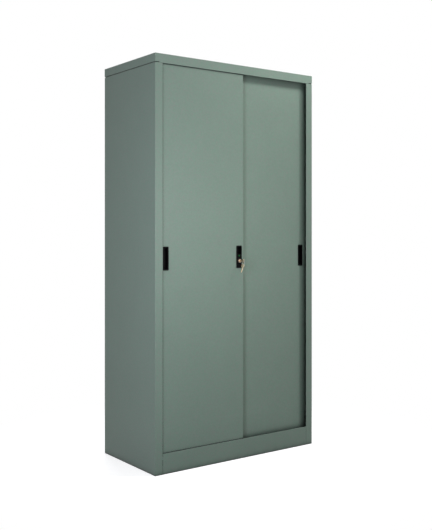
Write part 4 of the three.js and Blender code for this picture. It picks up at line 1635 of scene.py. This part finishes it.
@dataclass(frozen=True)
class Lamp:
    """A softbox, which the camera doesn't see."""

    name: str
    place: Place
    aim: Place
    size: Span
    watts: float
    tint: Colour = WHITE
    mirrored: bool = True

    def hang(self) -> None:
        """Puts the softbox in the scene, turned to its aim."""
        light = bpy.data.lights.new(self.name, "AREA")
        light.shape = "RECTANGLE"
        light.size, light.size_y = self.size
        light.energy, light.color = self.watts, self.tint
        lamp = shown(self.name, light)
        lamp.visible_camera, lamp.visible_glossy = False, self.mirrored
        lamp.location = self.place
        towards = Vector(self.aim) - Vector(self.place)
        lamp.rotation_euler = towards.to_track_quat("-Z", "Y").to_euler()


COOL: Colour = (0.95, 0.96, 1.1)
LAMPS = (
    Lamp("left softbox", (-1.7, -1.25, 1.25), (-0.3, -0.2, 1.15), (0.4, 0.7), 10.1, COOL),
    Lamp("low left softbox", (-1.9, -1.2, 0.9), (-0.4, -0.1, 0.8), (0.4, 0.7), 9.4, COOL),
    Lamp("right softbox", (2.9, -2.95, 1.3), (0, -0.2, 1.2), (0.5, 1.4), 6),
    Lamp("fill", (-0.15, -1.1, 1.1), (-0.1, -0.2, 1.1), (0.4, 0.5), 2.9),
    Lamp("right key", (2.3, -2.15, 4.5), (0, -0.2, 1.3), (0.5, 0.5), 82),
    Lamp("cap light", (0.42, -0.62, 2.35), (0.42, -0.24, 1.7), (0.25, 0.25), 3.6),
    Lamp("back softbox", (0.9, 2.8, 1.9), (0.05, 0.2, 0.95), (1.4, 1.4), 80, mirrored=False),
    Lamp("right side softbox", (3.2, 0.7, 1.5), (0.45, 0.1, 0.95), (1.4, 1.6), 55, mirrored=False),
)


@dataclass
class Studio:
    """The camera, the lamps, the floor and the pale surround."""

    camera_place: Place = (-2.2989, -3.19155, 1.0616)
    heading_degrees: float = 36.221
    focal_pixels: float = 809.8
    picture: tuple[int, int] = (432, 530)
    principal_pixel: Span = (219.27, 230.36)
    sensor: float = 36.0
    surround: float = 0.04
    floor_reach: float = 9.0
    floor_fade: Span = (0.55, 1.25)
    floor_tone: Colour = (0.5, 0.5, 0.5)
    floor_bounce: Colour = (0.2, 0.2, 0.2)
    floor_glow: float = 0.78
    lamps: tuple[Lamp, ...] = LAMPS

    def build(self) -> None:
        """Sets up the camera, lamps, floor and surround."""
        bpy.context.scene.view_settings.view_transform = "Standard"
        self.camera()
        self.surroundings()
        self.floor()
        for lamp in self.lamps:
            lamp.hang()

    def camera(self) -> None:
        """Places the camera at the photograph's angle."""
        lens = bpy.data.cameras.new("camera")
        width, height = self.picture
        lens.sensor_width = self.sensor
        lens.lens = self.focal_pixels / height * self.sensor
        lens.shift_x = (width / 2 - self.principal_pixel[0]) / height
        lens.shift_y = (self.principal_pixel[1] - height / 2) / height
        camera = shown("camera", lens)
        camera.location = self.camera_place
        camera.rotation_euler = (QUARTER_TURN, 0, -math.radians(self.heading_degrees))
        bpy.context.scene.camera = camera

    def surroundings(self) -> None:
        """Lights the object evenly, and shows white to the camera and in reflections."""
        world = bpy.data.worlds.new("surround")
        world.use_nodes = True
        world.node_tree.nodes.clear()
        graph = Graph(world.node_tree)
        light = graph.add("Background", {"Color": WHITE, "Strength": self.surround})
        white = graph.add("Background", {"Color": WHITE, "Strength": 1.0})
        surface = graph.mixed(graph.shown_rays(), light, white).outputs[0]
        graph.add("OutputWorld", {"Surface": surface})
        bpy.context.scene.world = world

    def floor(self) -> None:
        """Lays a pale floor that keeps the object's shadow and fades to white."""
        reach = self.floor_reach
        mesh = bpy.data.meshes.new("floor")
        corners = [(x * reach, y * reach, 0) for x, y in ((-1, -1), (1, -1), (1, 1), (-1, 1))]
        mesh.from_pydata(corners, [], [(0, 1, 2, 3)])
        floor = shown("floor", mesh)
        mesh.materials.append(self.floor_material())

    def floor_material(self) -> Material:
        """Mixes the floor's material, which glows but for the patch under the object.

        Returns:
            The material.
        """
        material = bpy.data.materials.new("pale floor")
        material.use_nodes = True
        material.node_tree.nodes.clear()
        graph = Graph(material.node_tree)
        place = graph.place()
        low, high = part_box("left_side_panel")[0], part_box("right_side_panel")[1]
        beside = graph.vector("ABSOLUTE", graph.vector("SUBTRACT", place, (low + high) / 2))
        across = graph.add("SeparateXYZ", {0: beside}).outputs
        outside = graph.work(
            "MAXIMUM",
            graph.work("GREATER_THAN", across["X"], (high.x - low.x) / 2),
            graph.work("GREATER_THAN", across["Y"], (high.y - low.y) / 2),
        )
        matt = graph.add("BsdfDiffuse", {"Color": self.floor_tone})
        glow_strength = graph.times(outside, self.floor_glow)
        glow = graph.add("Emission", {"Color": WHITE, "Strength": glow_strength})
        near = graph.add("AddShader", {0: matt.outputs[0], 1: glow.outputs[0]})
        white = graph.add("Emission", {"Color": WHITE, "Strength": 1.0})
        distance = graph.vector("LENGTH", place, output="Value")
        fade = graph.times(outside, graph.spread(distance, *self.floor_fade, smooth=True))
        bounce = graph.add("BsdfDiffuse", {"Color": self.floor_bounce})
        mixed = graph.mixed(graph.shown_rays(), bounce, graph.mixed(fade, near, white))
        graph.add("OutputMaterial", {"Surface": mixed.outputs[0]})
        return material


def main() -> None:
    """Builds the cupboard's looks and the studio."""
    logging.basicConfig(level=logging.INFO, format="%(name)s: %(message)s")
    finishes = Finishes.mixed()
    Carcass(finishes).build()
    RollerSet(finishes).build()
    pull = Pull(finishes)
    pull.build("left_pull", "left_door_pull", "left_door")
    pull.build("right_pull", "right_door_pull", "right_door")
    PushLock(finishes).build(pull)
    KeySet(finishes).build()
    Studio().build()


if __name__ == "__main__":
    main()
